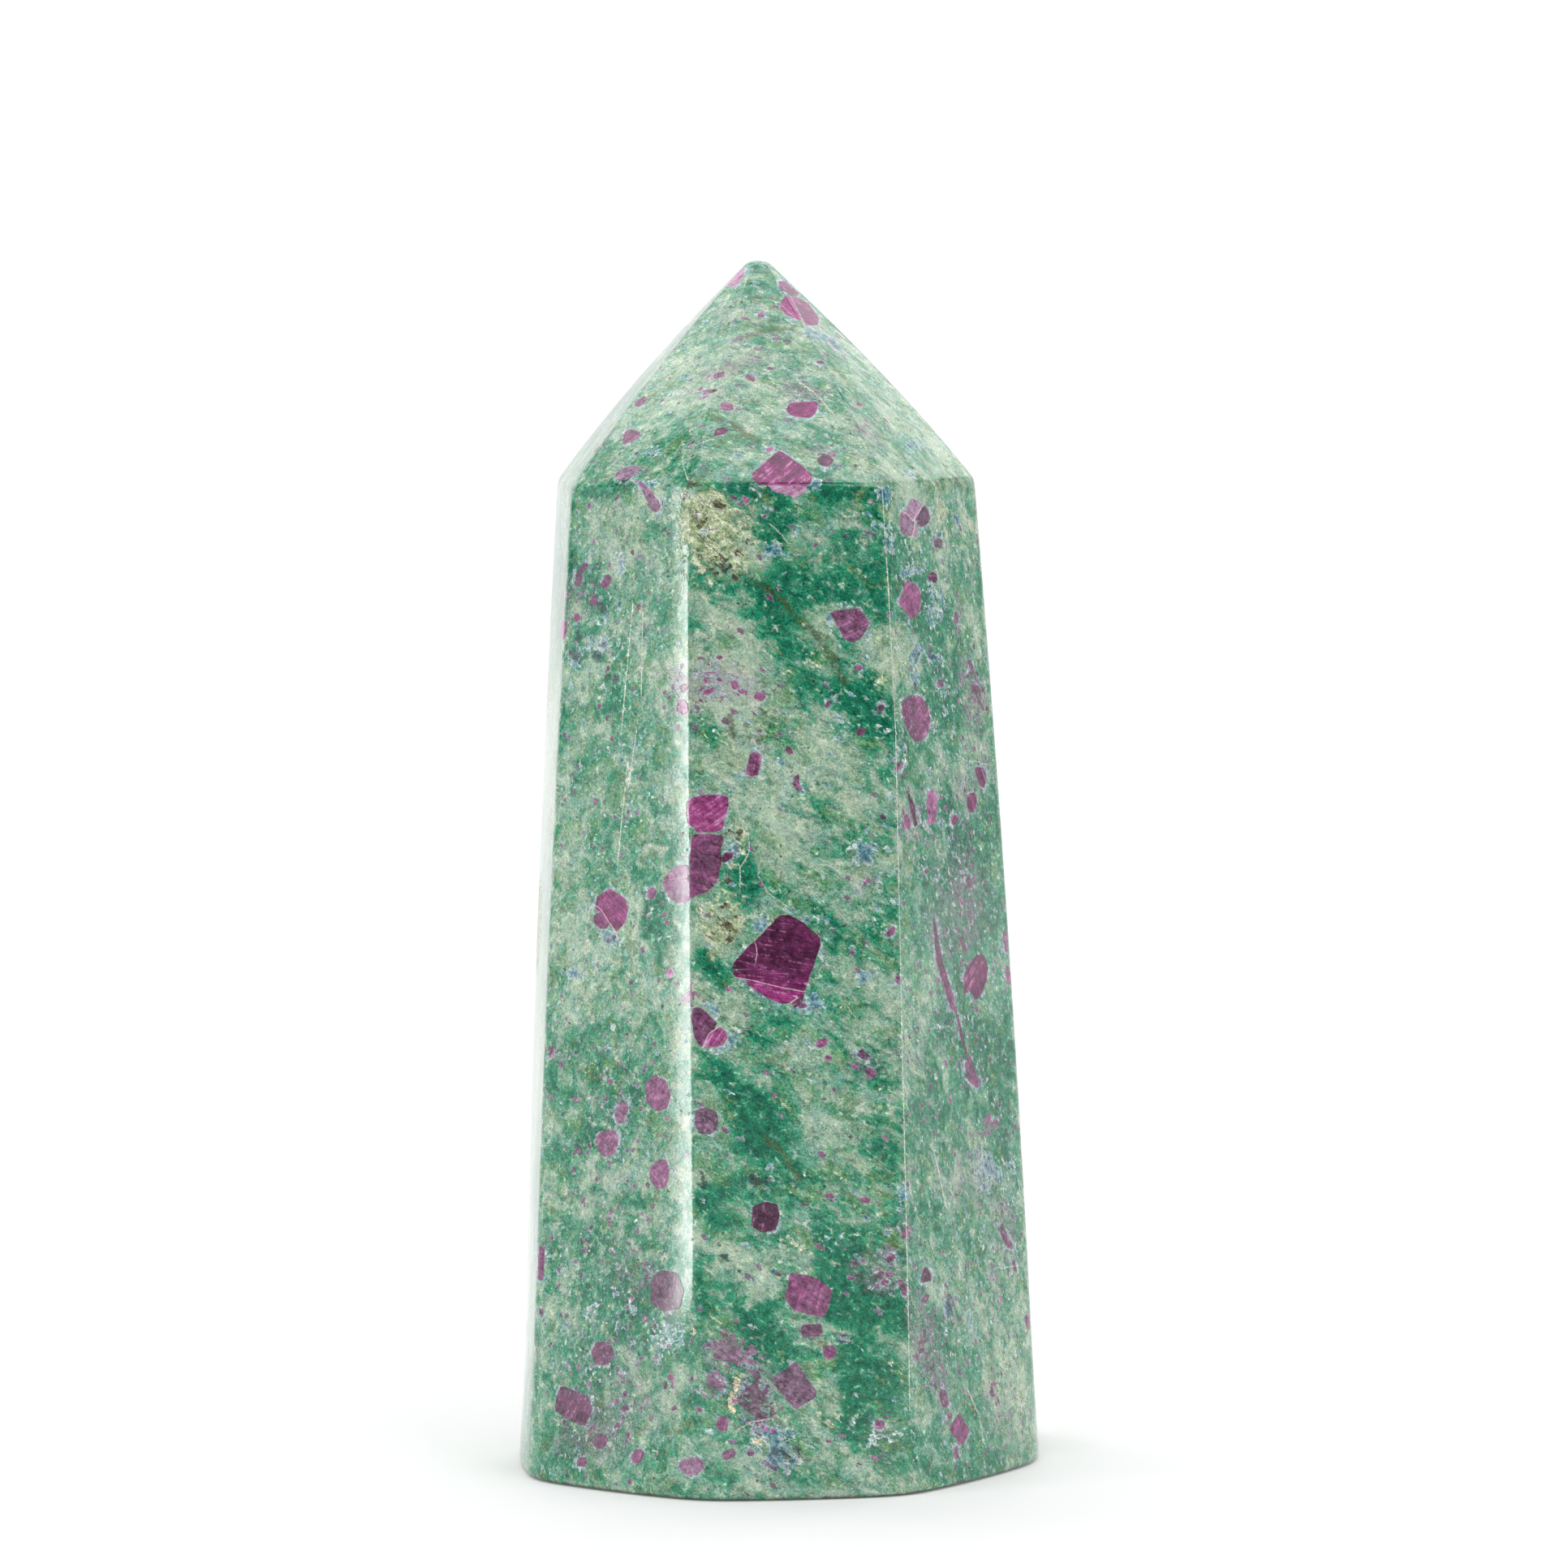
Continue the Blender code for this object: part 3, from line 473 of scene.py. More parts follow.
KYANITE_ZONES = [
    (1131, 829, 8, 11, 0, 0.8), (1124, 813, 5, 6, 0, 0.6), (1163, 817, 5, 6, 0, 0.6),
    (1127, 847, 10, 6, 0, 0.5), (1152, 752, 10, 24, 0, 0.5), (1128, 701, 16, 8, 0, 0.45),
    (1160, 664, 9, 12, 0, 0.5), (1166, 862, 12, 20, 0, 0.45), (1150, 722, 12, 10, 0, 0.4),
    (1091, 609, 9, 10, 0, 1.2), (1093, 665, 10, 22, 0, 0.7), (1119, 705, 14, 5, -20, 0.4),
    (952, 677, 13, 9, 0, 1.1), (942, 632, 8, 12, 0, 0.6), (1115, 1468, 16, 14, 0, 0.7),
    (1065, 1205, 16, 16, 0, 0.7), (1060, 1050, 20, 16, 0, 0.6), (822, 1645, 22, 20, 0, 0.7),
    (751, 1156, 12, 9, 0, 1.1), (728, 1117, 5, 11, 0, 0.9), (900, 1048, 8, 8, 0, 1.1),
    (901, 1282, 6, 9, 0, 1.3), (883, 1294, 22, 5, 0, 1.0), (875, 1243, 7, 16, -40, 0.9),
    (965, 1800, 26, 15, 0, 1.0), (950, 1768, 30, 16, 0, 0.9), (1216, 1440, 16, 26, 0, 0.7),
    (1242, 1450, 10, 30, 0, 0.6), (709, 811, 14, 9, 0, 0.7), (736, 795, 16, 10, 0, 0.6),
    (708, 1198, 10, 11, 0, 0.9), (749, 1159, 8, 7, 0, 0.7), (1027, 765, 8, 9, 0, 1.0),
    (1068, 785, 8, 8, 0, 0.9), (1040, 745, 14, 5, 0, 0.8), (1093, 1770, 26, 6, -10, 0.7),
    (1129, 805, 8, 9, 0, 1.0), (1150, 808, 8, 6, 0, 0.9), (1008, 415, 24, 5, 15, 1.1),
    (1035, 432, 20, 5, 40, 1.0), (972, 393, 10, 4, 20, 0.9), (866, 398, 6, 7, 0, 0.6),
    (845, 462, 10, 4, -20, 0.7), (827, 487, 7, 3, 0, 0.7), (805, 557, 14, 7, 0, 0.6),
    (1128, 551, 10, 7, 0, 0.7), (1120, 585, 12, 6, 40, 0.7), (1002, 600, 10, 8, 0, 0.9),
    (985, 617, 12, 5, 0, 0.8), (1178, 643, 4, 7, 0, 0.9), (700, 1570, 10, 10, 0, 0.5),
    (936, 1140, 14, 12, 40, 0.9), (975, 1121, 9, 6, 0, 1.0), (992, 1130, 9, 6, 0, 0.9),
    (1010, 1172, 5, 14, -10, 0.8), (990, 1243, 12, 7, 0, 1.0), (1005, 1235, 7, 12, 0, 0.8),
    (978, 1292, 34, 12, 0, 0.45), (1168, 1610, 7, 18, -15, 0.7), (1195, 1625, 5, 14, 10, 0.6),
    (1108, 925, 10, 20, 0, 0.5), (760, 700, 10, 10, 0, 0.4), (793, 598, 10, 5, 0, 0.8),
    (1200, 1810, 14, 8, 0, 0.4), (950, 1440, 14, 14, 0, 0.5), (1085, 905, 9, 12, 0, 0.6),
    (730, 1620, 12, 10, 0, 0.5), (766, 1610, 14, 20, 0, 0.4), (1128, 1768, 6, 5, 0, 0.6),
    (1170, 1060, 44, 200, 0, 0.22), (1200, 1600, 50, 160, 0, 0.18), (740, 760, 50, 90, 0, 0.22),
    (720, 1650, 60, 160, 0, 0.16), (1070, 1090, 30, 60, 0, 0.22), (1150, 700, 40, 90, 0, 0.15),
]
SPECK_ZONES = [
    (893, 843, 48, 26, 10, 1.0), (845, 862, 20, 26, 0, 0.6), (928, 908, 22, 16, 0, 0.5),
    (990, 1097, 16, 12, 0, 0.5), (1066, 1085, 18, 24, 0, 0.6), (1022, 1010, 20, 14, 0, 0.4),
    (1082, 1566, 38, 24, 20, 0.9), (1068, 1312, 20, 20, 0, 0.9), (1118, 1522, 14, 16, 0, 0.6),
    (1137, 1645, 14, 40, -10, 0.9), (1155, 1705, 16, 44, -15, 0.9), (752, 1742, 60, 36, 0, 0.55),
    (728, 1782, 42, 20, 0, 0.7), (800, 1700, 40, 44, 0, 0.3), (1195, 850, 12, 60, -10, 0.6),
    (1190, 1110, 22, 60, 0, 0.55), (1155, 1165, 12, 50, -10, 0.6), (708, 738, 18, 36, 0, 0.6),
    (790, 1565, 24, 34, 0, 0.45), (690, 1295, 12, 26, 0, 0.5), (1202, 965, 20, 40, 0, 0.5),
    (935, 1725, 26, 44, 0, 0.9), (880, 1704, 22, 22, 0, 0.6), (1238, 1505, 12, 50, -10, 0.6),
    (990, 484, 26, 11, 0, 1.7), (893, 458, 34, 10, -15, 1.1), (866, 484, 26, 5, 0, 0.7),
    (905, 390, 26, 7, 0, 0.5), (1070, 535, 22, 12, 40, 0.7), (745, 540, 14, 12, -40, 0.6),
    (893, 1665, 34, 22, 0, 0.9), (1200, 1450, 30, 40, 0, 0.4), (1120, 1010, 14, 40, 0, 0.6),
    (1240, 1755, 24, 30, 0, 0.5), (1222, 1712, 10, 20, 0, 0.7), (1137, 1330, 14, 60, 0, 0.35),
    (1007, 555, 18, 9, 20, 0.8), (850, 545, 20, 12, 0, 0.4), (960, 1805, 40, 16, 0, 0.5),
    (1100, 1290, 14, 50, 0, 0.4), (1090, 1800, 20, 14, 0, 0.5), (1225, 1580, 12, 40, 0, 0.3),
    (1179, 748, 5, 24, 0, 0.9), (1203, 850, 9, 30, -15, 1.0), (1205, 640, 4, 50, 0, 0.7),
    (1195, 700, 8, 40, 0, 0.3), (820, 830, 40, 14, 10, 0.3), (750, 700, 50, 90, 0, 0.25),
    (750, 1400, 50, 120, 0, 0.25), (740, 1640, 60, 120, 0, 0.3), (1165, 1040, 34, 150, 0, 0.3),
    (1150, 780, 34, 80, 0, 0.2), (1190, 1450, 60, 330, 0, 0.25), (940, 430, 90, 50, 0, 0.25),
    (730, 1500, 60, 260, 0, 0.12),
]

# Pale seams and cracks of the photo, each a line through its points, and a painted highlight along one edge
SEAMS_AND_HIGHLIGHT = {
    "needle": [(949, 645), (961, 657), (973, 671)],
    "shoulder_curve": [(850, 549), (843, 557), (841, 566), (843, 580), (848, 592)],
    "cracked_lines": [(1110, 627), (1125, 641), (1138, 621)],
    "cracked_line_low": [(1125, 641), (1128, 648), (1123, 663)],
    "right_white": [(1178, 928), (1191, 938), (1203, 938), (1215, 942)],
    "right_foot": [(1192, 1711), (1207, 1746), (1213, 1781)],
    "right_scratch": [(1149, 1412), (1156, 1440), (1166, 1490)],
    "right_low_edge": [(1228, 1563), (1249, 1560)],
    "left_scratch_a": [(780, 740), (773, 820), (765, 905)],
    "left_scratch_b": [(792, 749), (791, 800), (790, 860)],
    "left_scratch_c": [(785, 896), (780, 930), (774, 972)],
    "left_scratch_d": [(774, 936), (767, 1000), (761, 1065)],
    "middle_a": [(1008, 1065), (1019, 1066), (1031, 1070)],
    "middle_b": [(1044, 1239), (1050, 1248), (1055, 1257)],
    "middle_curve": [(904, 985), (912, 1005), (922, 1025), (924, 1050), (912, 1068), (912, 1095)],
    "middle_vein": [(935, 1078), (944, 1098), (962, 1112), (975, 1120)],
    "great_line": [(906, 1204.5), (930, 1208.5), (951, 1214), (966, 1217.5), (992, 1222)],
    "great_crack": [(931, 1160), (933, 1176), (930, 1186)],
    "great_crack_low_b": [(972, 1237), (988, 1226)],
    "wedge_line": [(866, 1291), (873, 1274), (887, 1264)],
    "left_main_line": [(734, 1115), (741, 1121), (750, 1136), (760, 1150)],
    "point_vein": [(880, 540), (865, 545), (850, 552)],
    "foot_white": [(1070, 1775), (1090, 1770), (1108, 1765)],
    "foot_curve": [(905, 1765), (925, 1752), (950, 1748)],
    # Painted highlight: a thin pale line along the edge between the middle and right facets
    "right_edge_highlight": [(1087, 602), (1096, 750), (1103.5, 900), (1112, 1302), (1119, 1600), (1121, 1740)],
    "point_low_vein": [(985, 470), (1010, 490), (1030, 515)],
}

# These of them are straight and thin: lines that the polish caught along a scratch, and the painted
# highlight along an edge
STRAIGHT_LINES = {
    "right_edge_highlight", "right_scratch", "left_scratch_a", "left_scratch_b", "left_scratch_c",
    "left_scratch_d", "wedge_line", "great_line", "left_main_line", "great_crack",
    "great_crack_low_b",
}

# Other marks of the photo, each a kind, a half width and a line through its points: olive strands,
# grains of a mineral as dark as ink, and peach-coloured flakes
MARKS = {
    "olive_long": ("olive", 4.0, [(905, 705), (930, 716), (960, 736), (988, 768), (1010, 790),
        (1028, 818), (1042, 842)]),
    "olive_beside": ("olive", 2.5, [(944, 716), (975, 750), (998, 772), (1020, 786)]),
    "olive_low": ("olive", 3.5, [(1015, 800), (1030, 812), (1036, 838)]),
    "brown_crack": ("olive", 2.5, [(847, 593), (860, 597), (872, 612), (885, 626)]),
    "ochre_spot": ("olive", 4.0, [(860, 683), (867, 685)]),
    "ochre_smear": ("olive", 5.0, [(898, 880), (903, 905)]),
    "tip_brown_a": ("olive", 2.0, [(928, 334), (946, 336)]),
    "tip_brown_b": ("olive", 2.0, [(930, 367), (944, 369)]),
    "tip_olive": ("olive", 3.0, [(905, 420), (940, 408), (980, 404)]),
    "point_olive": ("olive", 3.5, [(880, 515), (905, 525), (935, 545)]),
    "middle_olive": ("olive", 4.0, [(940, 1400), (965, 1420), (985, 1452)]),
    "low_olive": ("olive", 4.0, [(985, 1640), (1005, 1650), (1040, 1675)]),
    "red_dot": ("olive", 3.0, [(1089, 1421), (1091, 1423)]),
    "ink_right": ("ink", 3.0, [(1168, 1595), (1174, 1632)]),
    "ink_middle": ("ink", 4.0, [(924, 1451), (934, 1458), (946, 1454)]),
    "ink_middle_low": ("ink", 5.0, [(890, 1549), (896, 1551)]),
    "ink_foot_a": ("ink", 5.0, [(956, 1790), (964, 1788)]),
    "ink_foot_b": ("ink", 4.5, [(979, 1785), (986, 1790)]),
    "ink_corner": ("ink", 3.5, [(865, 1442), (868, 1462)]),
    "ink_small": ("ink", 3.0, [(1019, 1475), (1022, 1478)]),
    "ink_ruby": ("ink", 3.5, [(1034, 1647), (1038, 1651)]),
    "ink_slot": ("ink", 3.5, [(817, 653), (829, 662)]),
    "ink_left_a": ("ink", 5.0, [(706, 806), (714, 812)]),
    "ink_left_b": ("ink", 5.0, [(733, 806), (740, 811)]),
    "ink_left_c": ("ink", 4.5, [(750, 835), (758, 838)]),
    "ink_left_f": ("ink", 4.5, [(739, 744), (742, 752)]),
    "ink_left_g": ("ink", 4.0, [(713, 782), (716, 788)]),
    "ink_right_a": ("ink", 3.5, [(1127, 804), (1129, 808)]),
    "ink_right_b": ("ink", 3.5, [(1146, 804), (1149, 808)]),
    "ink_left_d": ("ink", 3.0, [(711, 1412), (716, 1420)]),
    "ink_left_e": ("ink", 3.5, [(718, 1480), (722, 1483)]),
    "ink_top_right": ("ink", 5.0, [(1153, 667), (1158, 672)]),
    "peach_a": ("peach", 4.0, [(906, 1700), (907, 1708)]),
    "peach_b": ("peach", 4.5, [(903, 1718), (901, 1729)]),
    "peach_c": ("peach", 3.0, [(853, 1637), (855, 1643)]),
    "peach_d": ("peach", 3.5, [(932, 1774), (940, 1778)]),
    "peach_e": ("peach", 3.0, [(814, 1543), (816, 1550)]),
    "peach_f": ("peach", 3.0, [(900, 1739), (904, 1741)]),
    "peach_g": ("peach", 2.5, [(967, 1799), (971, 1802)]),
}

# Pits and dark slots of the photo: across, down, half length, half width, tilt, depth
PITS = [
    (833, 591, 5, 3, -40, 0.4), (865, 646, 8, 3, 45, 0.9), (886, 621, 9, 4, -20, 0.9),
    (914, 682, 10, 4, -40, 0.6), (923, 670, 5, 4, 0, 0.7), (887, 696, 15, 3, -38, 1.0),
    (893, 690, 12, 2, -38, 0.8), (878, 705, 9, 2.5, -40, 0.8), (906, 711, 5, 3, 0, 0.7),
    (845, 594, 8, 3, -35, 0.6), (857, 600, 7, 3, -40, 0.7), (908, 1029, 6, 5, 0, 1.0),
    (897, 1028, 5, 5, 0, 0.9), (893, 1119, 6, 2.5, -10, 0.8), (886, 1132, 9, 3, 5, 0.7),
    (901, 1144, 13, 3, -20, 1.0), (905, 1125, 8, 2.5, -55, 0.7), (900, 1157, 8, 4, 20, 0.8),
    (889, 1155, 5, 3, 0, 0.5), (895, 1087, 5, 4, 0, 0.8), (875, 1097, 4, 5, 40, 0.7),
    (956, 1132, 3, 3, 0, 0.8), (1008, 1152, 3, 3, 0, 0.8), (964, 1799, 14, 8, 10, 0.5),
    (1024, 530, 6, 4, 0, 0.3), (846, 625, 4, 3, 0, 0.4),
]

ruby_depth = np.full(len(points), OUTSIDE)
ruby_traits = np.zeros((5, len(points)))
ruby_tone, ruby_line, ruby_chance, ruby_broken, ruby_clouding = ruby_traits


def near(x, y, reach):
    """Indices of the points that the photo shows within this many pixels of a place."""
    return np.flatnonzero(seen & (abs(photo_x - x) < reach) & (abs(photo_y - y) < reach))


def tilted(x, y, tilt):
    """Distances along and across a line that climbs to the right by a tilt in degrees."""
    turn = np.radians(tilt)
    return x * np.cos(turn) - y * np.sin(turn), x * np.sin(turn) + y * np.cos(turn)


def outline_depth(x, y, corners):
    """Distance inside a closed outline, below nought outside: the least distance to its edges."""
    start = np.array(corners, float)
    edge = np.roll(start, -1, axis=0) - start
    to_x = x[:, None] - start[:, 0]
    to_y = y[:, None] - start[:, 1]
    share = np.clip((to_x * edge[:, 0] + to_y * edge[:, 1]) / (edge ** 2).sum(axis=1), 0, 1)
    gap = np.hypot(to_x - share * edge[:, 0], to_y - share * edge[:, 1]).min(axis=1)
    next_y = np.roll(start[:, 1], -1)
    spans = (start[:, 1] > y[:, None]) != (next_y > y[:, None])
    slope = np.where(edge[:, 1] == 0, 1e-9, edge[:, 1])
    crossing = spans & (to_x < to_y * edge[:, 0] / slope)
    return np.where(crossing.sum(axis=1) % 2 == 1, gap, -gap)


def set_ruby(where, depth, *traits):
    """Give its traits to the points where this crystal lies deeper than those set before it."""
    deeper = depth > ruby_depth[where]
    chosen = where[deeper]
    ruby_depth[chosen] = depth[deeper]
    for kept, trait in zip(ruby_traits, traits):
        kept[chosen] = np.broadcast_to(trait, depth.shape)[deeper]


OUTLINE_MARGIN = 40
SMALL_MARGIN = 30
SMALL_CLOUDING = 0.2
SMALL_BLUNTNESS = 0.35
chance = np.random.default_rng(41)
for name, (tone, clouding, lie, corners) in RUBIES.items():
    centre = np.mean(corners, axis=0)
    where = near(*centre, np.ptp(corners, axis=0).max() / 2 + OUTLINE_MARGIN)
    x, y = photo_x[where], photo_y[where]
    depth = outline_depth(x, y, corners) * PIXEL
    line = tilted(x - centre[0], y - centre[1], lie)[1] * PIXEL
    set_ruby(where, depth, tone, line, chance.uniform(), name in BROKEN_RUBIES, clouding)
for across_px, down_px, long, short, tilt, tone in SMALL_RUBIES:
    where = near(across_px, down_px, long + SMALL_MARGIN)
    lengthways, crossways = tilted(photo_x[where] - across_px, photo_y[where] - down_px, tilt)
    blunt = long - abs(lengthways) - SMALL_BLUNTNESS * abs(crossways)
    depth = np.minimum(short - abs(crossways), blunt) * PIXEL
    set_ruby(where, depth, tone, crossways * PIXEL, chance.uniform(), 0.0, SMALL_CLOUDING)

# Crystals on the facets that the photo hides: six-sided prisms grown at all angles and cut
# through by the polished surface, their places drawn by the area round each point
HIDDEN_RUBIES = 330
HIDDEN_EVERY = 7
HIDDEN_TONES = [0.2, 0.35, 0.5, 0.65, 0.8, 0.95]
LEAST_RADIUS = 0.4
RADIUS_RANGE = 2.7
RADIUS_RARITY = 3.6
PRISM_MARGIN = 3.0
hidden = np.flatnonzero((facing < HIDDEN_FROM) & (np.arange(len(points)) % HIDDEN_EVERY == 0))
spread = np.linalg.norm(along, axis=2) * np.linalg.norm(across, axis=2)
spread = np.append(spread.ravel(), [0.0, 0.0])[hidden]
centres = chance.choice(hidden, HIDDEN_RUBIES, replace=False, p=spread / spread.sum())
for index in centres:
    radius = LEAST_RADIUS + RADIUS_RANGE * chance.uniform() ** RADIUS_RARITY
    half_length = radius * chance.uniform(0.8, 2.2)
    turn = np.linalg.qr(chance.normal(size=(3, 3)))[0]
    centre = points[index] - normals[index] * radius * chance.uniform(-0.3, 0.6)
    box = 2.2 * half_length + PRISM_MARGIN
    where = np.flatnonzero((abs(points - centre) < box).all(axis=1) & ~seen)
    local = (points[where] - centre) @ turn
    depth = half_length - abs(local[:, 2])
    for way in np.radians([0.0, 60.0, 120.0]):
        reach = abs(local[:, 0] * np.cos(way) + local[:, 1] * np.sin(way) + 0.15 * radius)
        depth = np.minimum(depth, radius * chance.uniform(0.7, 1.0) - reach)
    tone = chance.choice(HIDDEN_TONES)
    set_ruby(where, depth, tone, local[:, 2], chance.uniform(), 0.0, SMALL_CLOUDING)


ZONE_REACH = 2.2
ZONE_MARGIN = 20
WARP_SIZE = 6.0


def zone_strength(zones, warp):
    """Sum of soft ovals, strength times exp(-0.7 r^3) at r half widths, warped by some pixels."""
    total = np.zeros(len(points))
    x = photo_x + warp * drift(WARP_SIZE, 3)
    y = photo_y + warp * drift(WARP_SIZE, 4)
    for across_px, down_px, half_width, half_height, tilt, strength in zones:
        where = near(across_px, down_px, ZONE_REACH * max(half_width, half_height) + ZONE_MARGIN)
        level, steep = tilted(x[where] - across_px, y[where] - down_px, -tilt)
        oval = (level / half_width) ** 2 + (steep / half_height) ** 2
        total[where] += strength * np.exp(-0.7 * oval ** 1.5)
    return total


# Where the photo shows the stone its zones hold, and round the back broad waves take over
BACK_BLEND = 0.12
PALE_WEIGHT = 0.55
back_share = 1 - np.clip((facing - SEEN_FROM) / BACK_BLEND, 0, 1)


def behind(strength, size, seed, floor):
    """Patches of the hidden side: waves of this size, where they rise above a floor."""
    return back_share * strength * (drift(size, seed) - floor).clip(0, 1)


green = zone_strength(GREEN_ZONES, 9.0)
green = np.where(green < 0, PALE_WEIGHT * green, green) + back_share * 0.5 * drift(26.0, 5)
cream = zone_strength(CREAM_ZONES, 7.0) + behind(1.6, 24.0, 6, 0.75)
kyanite = zone_strength(KYANITE_ZONES, 2.5) + behind(1.5, 10.0, 7, 0.7)
specks = zone_strength(SPECK_ZONES, 4.0) + behind(1.2, 15.0, 8, 0.5)


def stretches(line, margin):
    """For each stretch of a line: the points near it, and how far across and beyond it they lie."""
    for start, end in zip(np.array(line[:-1], float), np.array(line[1:], float)):
        length = np.linalg.norm(end - start)
        where = near(*(start + end) / 2, length / 2 + margin)
        x, y = photo_x[where] - start[0], photo_y[where] - start[1]
        way = (end - start) / length
        lengthways = x * way[0] + y * way[1]
        beyond = np.maximum(np.maximum(-lengthways, lengthways - length), 0)
        yield where, x * way[1] - y * way[0], beyond


SEAM_MARGIN = 14
SEAM_REACH = 5.5
SEAM_FADE = 2.5
MARK_MARGIN = 30
NO_SEAM = 99.0
seam_across = np.full(len(points), -OUTSIDE)
seam_gap = np.full(len(points), NO_SEAM)
straight = np.zeros(len(points))
for name, line in SEAMS_AND_HIGHLIGHT.items():
    for where, crossways, beyond in stretches(line, SEAM_MARGIN):
        gap = np.hypot(crossways, beyond)
        closer = gap < seam_gap[where]
        seam_gap[where[closer]] = gap[closer]
        straight[where[closer]] = name in STRAIGHT_LINES
        crossways += np.sign(crossways) * 2 * beyond
        seam_across[where[closer]] = crossways[closer] * PIXEL
seam_near = np.clip((SEAM_REACH - seam_gap) / SEAM_FADE, 0, 1)

marks = {kind: np.full(len(points), OUTSIDE) for kind in ("olive", "ink", "peach")}
for kind, half_width, line in MARKS.values():
    for where, crossways, beyond in stretches(line, MARK_MARGIN):
        depth = (half_width - np.hypot(crossways, beyond)) * PIXEL
        marks[kind][where] = np.maximum(marks[kind][where], depth)

# The pits are real hollows in the polish
PIT_DEPTH = 0.28
PIT_MARGIN = 2
PIT_SEARCH = 15
pit = np.zeros(len(points))
for across_px, down_px, long, short, tilt, depth in PITS:
    where = near(across_px, down_px, long + PIT_SEARCH)
    lengthways, crossways = tilted(photo_x[where] - across_px, photo_y[where] - down_px, tilt)
    oval = (lengthways / (long + PIT_MARGIN)) ** 2 + (crossways / (short + PIT_MARGIN)) ** 2
    pit[where] = np.maximum(pit[where], depth * np.clip(1.3 - oval, 0, 1))
points = points - normals * (PIT_DEPTH * pit ** 2 * (3 - 2 * pit))[:, None]

row, column = np.meshgrid(np.arange(row_count - 1), np.arange(column_count), indexing="ij")
beside = (column + 1) % column_count
quads = np.stack([row * column_count + column, row * column_count + beside,
                  (row + 1) * column_count + beside, (row + 1) * column_count + column], axis=2)
first_row = np.arange(column_count)
next_row = (first_row + 1) % column_count
last = (row_count - 1) * column_count
base_middle = np.full(column_count, row_count * column_count)
base_fan = np.stack([next_row, first_row, base_middle], axis=1)
tip_fan = np.stack([first_row + last, next_row + last, base_middle + 1], axis=1)
faces = quads.reshape(-1, 4).tolist() + base_fan.tolist() + tip_fan.tolist()
tower_mesh = bpy.data.meshes.new("stone_tower")
tower_mesh.from_pydata(points * MM, [], faces)
tower_mesh.polygons.foreach_set("use_smooth", np.ones(len(tower_mesh.polygons), bool))


def keep(name, *channels):
    """Store one number, or up to four as a colour, at every point of the mesh."""
    if len(channels) == 1:
        layer = tower_mesh.attributes.new(name, "FLOAT", "POINT")
        layer.data.foreach_set("value", channels[0])
        return
    layer = tower_mesh.attributes.new(name, "FLOAT_COLOR", "POINT")
    filled = list(channels) + [np.ones(len(points))] * (4 - len(channels))
    layer.data.foreach_set("color", np.stack(filled, axis=1).ravel())


keep("ruby", ruby_depth)
keep("clouding", ruby_clouding)
keep("marks", marks["olive"], marks["ink"], marks["peach"])
keep("crystal", ruby_tone, ruby_line, ruby_chance, ruby_broken)
keep("rock", green, cream, kyanite, specks)
keep("seam", seam_across, seam_near, pit, straight)
tower_mesh.update()
tower = bpy.data.objects.new("stone_tower", tower_mesh)
bpy.context.scene.collection.objects.link(tower)


# The stone tower: its polished surface
# Fuchsite flakes lie in sheets, so every pattern of the green rock is drawn out along them. The
# grain, the flecks, the crystals with their growth lines and pale rims, the kyanite and the
# seams are all cut flush by the polish, which is duller in the soft pale rock and in the pits.
# A dark band round the foot is a painted contact shadow.
# A pale line along one edge is a painted highlight.
class Field:
    """One socket of a material; sums, differences and products add Math nodes."""

    def __init__(self, tree, socket):
        self.tree = tree
        self.socket = socket

    def node(self, kind, settings, values, output=0):
        """A new node: its settings are set first, then a value or a link for each socket."""
        new = self.tree.nodes.new(kind)
        for name, value in settings.items():
            if name == "stops":
                ramp = new.color_ramp
                while len(ramp.elements) < len(value):
                    ramp.elements.new(0.5)
                for element, (position, colour) in zip(ramp.elements, value):
                    element.position = position
                    element.color = colour
            else:
                setattr(new, name, value)
        for name, value in values.items():
            if isinstance(value, Field):
                self.tree.links.new(value.socket, new.inputs[name])
            else:
                new.inputs[name].default_value = value
        return Field(self.tree, new.outputs[output])

    def maths(self, operation, first, second):
        return self.node("ShaderNodeMath", {"operation": operation}, {0: first, 1: second})

    def __add__(self, other):
        return self.maths("ADD", self, other)

    def __radd__(self, other):
        return self.maths("ADD", other, self)

    def __sub__(self, other):
        return self.maths("SUBTRACT", self, other)

    def __rsub__(self, other):
        return self.maths("SUBTRACT", other, self)

    def __mul__(self, other):
        return self.maths("MULTIPLY", self, other)

    def __abs__(self):
        return self.maths("ABSOLUTE", self, 0.0)

    def __gt__(self, other):
        return self.maths("GREATER_THAN", self, other)

    def at_least(self, other):
        return self.maths("MAXIMUM", self, other)

    def step(self, low, high):
        """Soft step from 0 at low to 1 at high, or down to 0 where high is the lesser."""
        return self.node("ShaderNodeMapRange", {"interpolation_type": "SMOOTHSTEP"},
                         {"Value": self, "From Min": low, "From Max": high})

    def part(self, index):
        """One of the three numbers of a vector or colour."""
        return self.node("ShaderNodeSeparateXYZ", {}, {0: self}, index)

    def between(self, first, second):
        """Colour mixed from first to second by this field."""
        return self.node("ShaderNodeMix", {"data_type": "RGBA"}, {0: self, 6: first, 7: second}, 2)

    def tones(self, stops):
        """Colour of this field on a scale of stops."""
        return self.node("ShaderNodeValToRGB", {"stops": stops}, {0: self})

    def scaled(self, factor):
        """This vector or colour times a number."""
        return self.node("ShaderNodeVectorMath", {"operation": "SCALE"}, {0: self, "Scale": factor})


def paint(red, green_part, blue):
    """A colour given as on a screen, from 0 to 255, in the linear values that shaders use."""
    screen = np.array([red, green_part, blue]) / 255.0
    linear = np.where(screen <= 0.04045, screen / 12.92, ((screen + 0.055) / 1.055) ** 2.4)
    return (*linear.tolist(), 1.0)


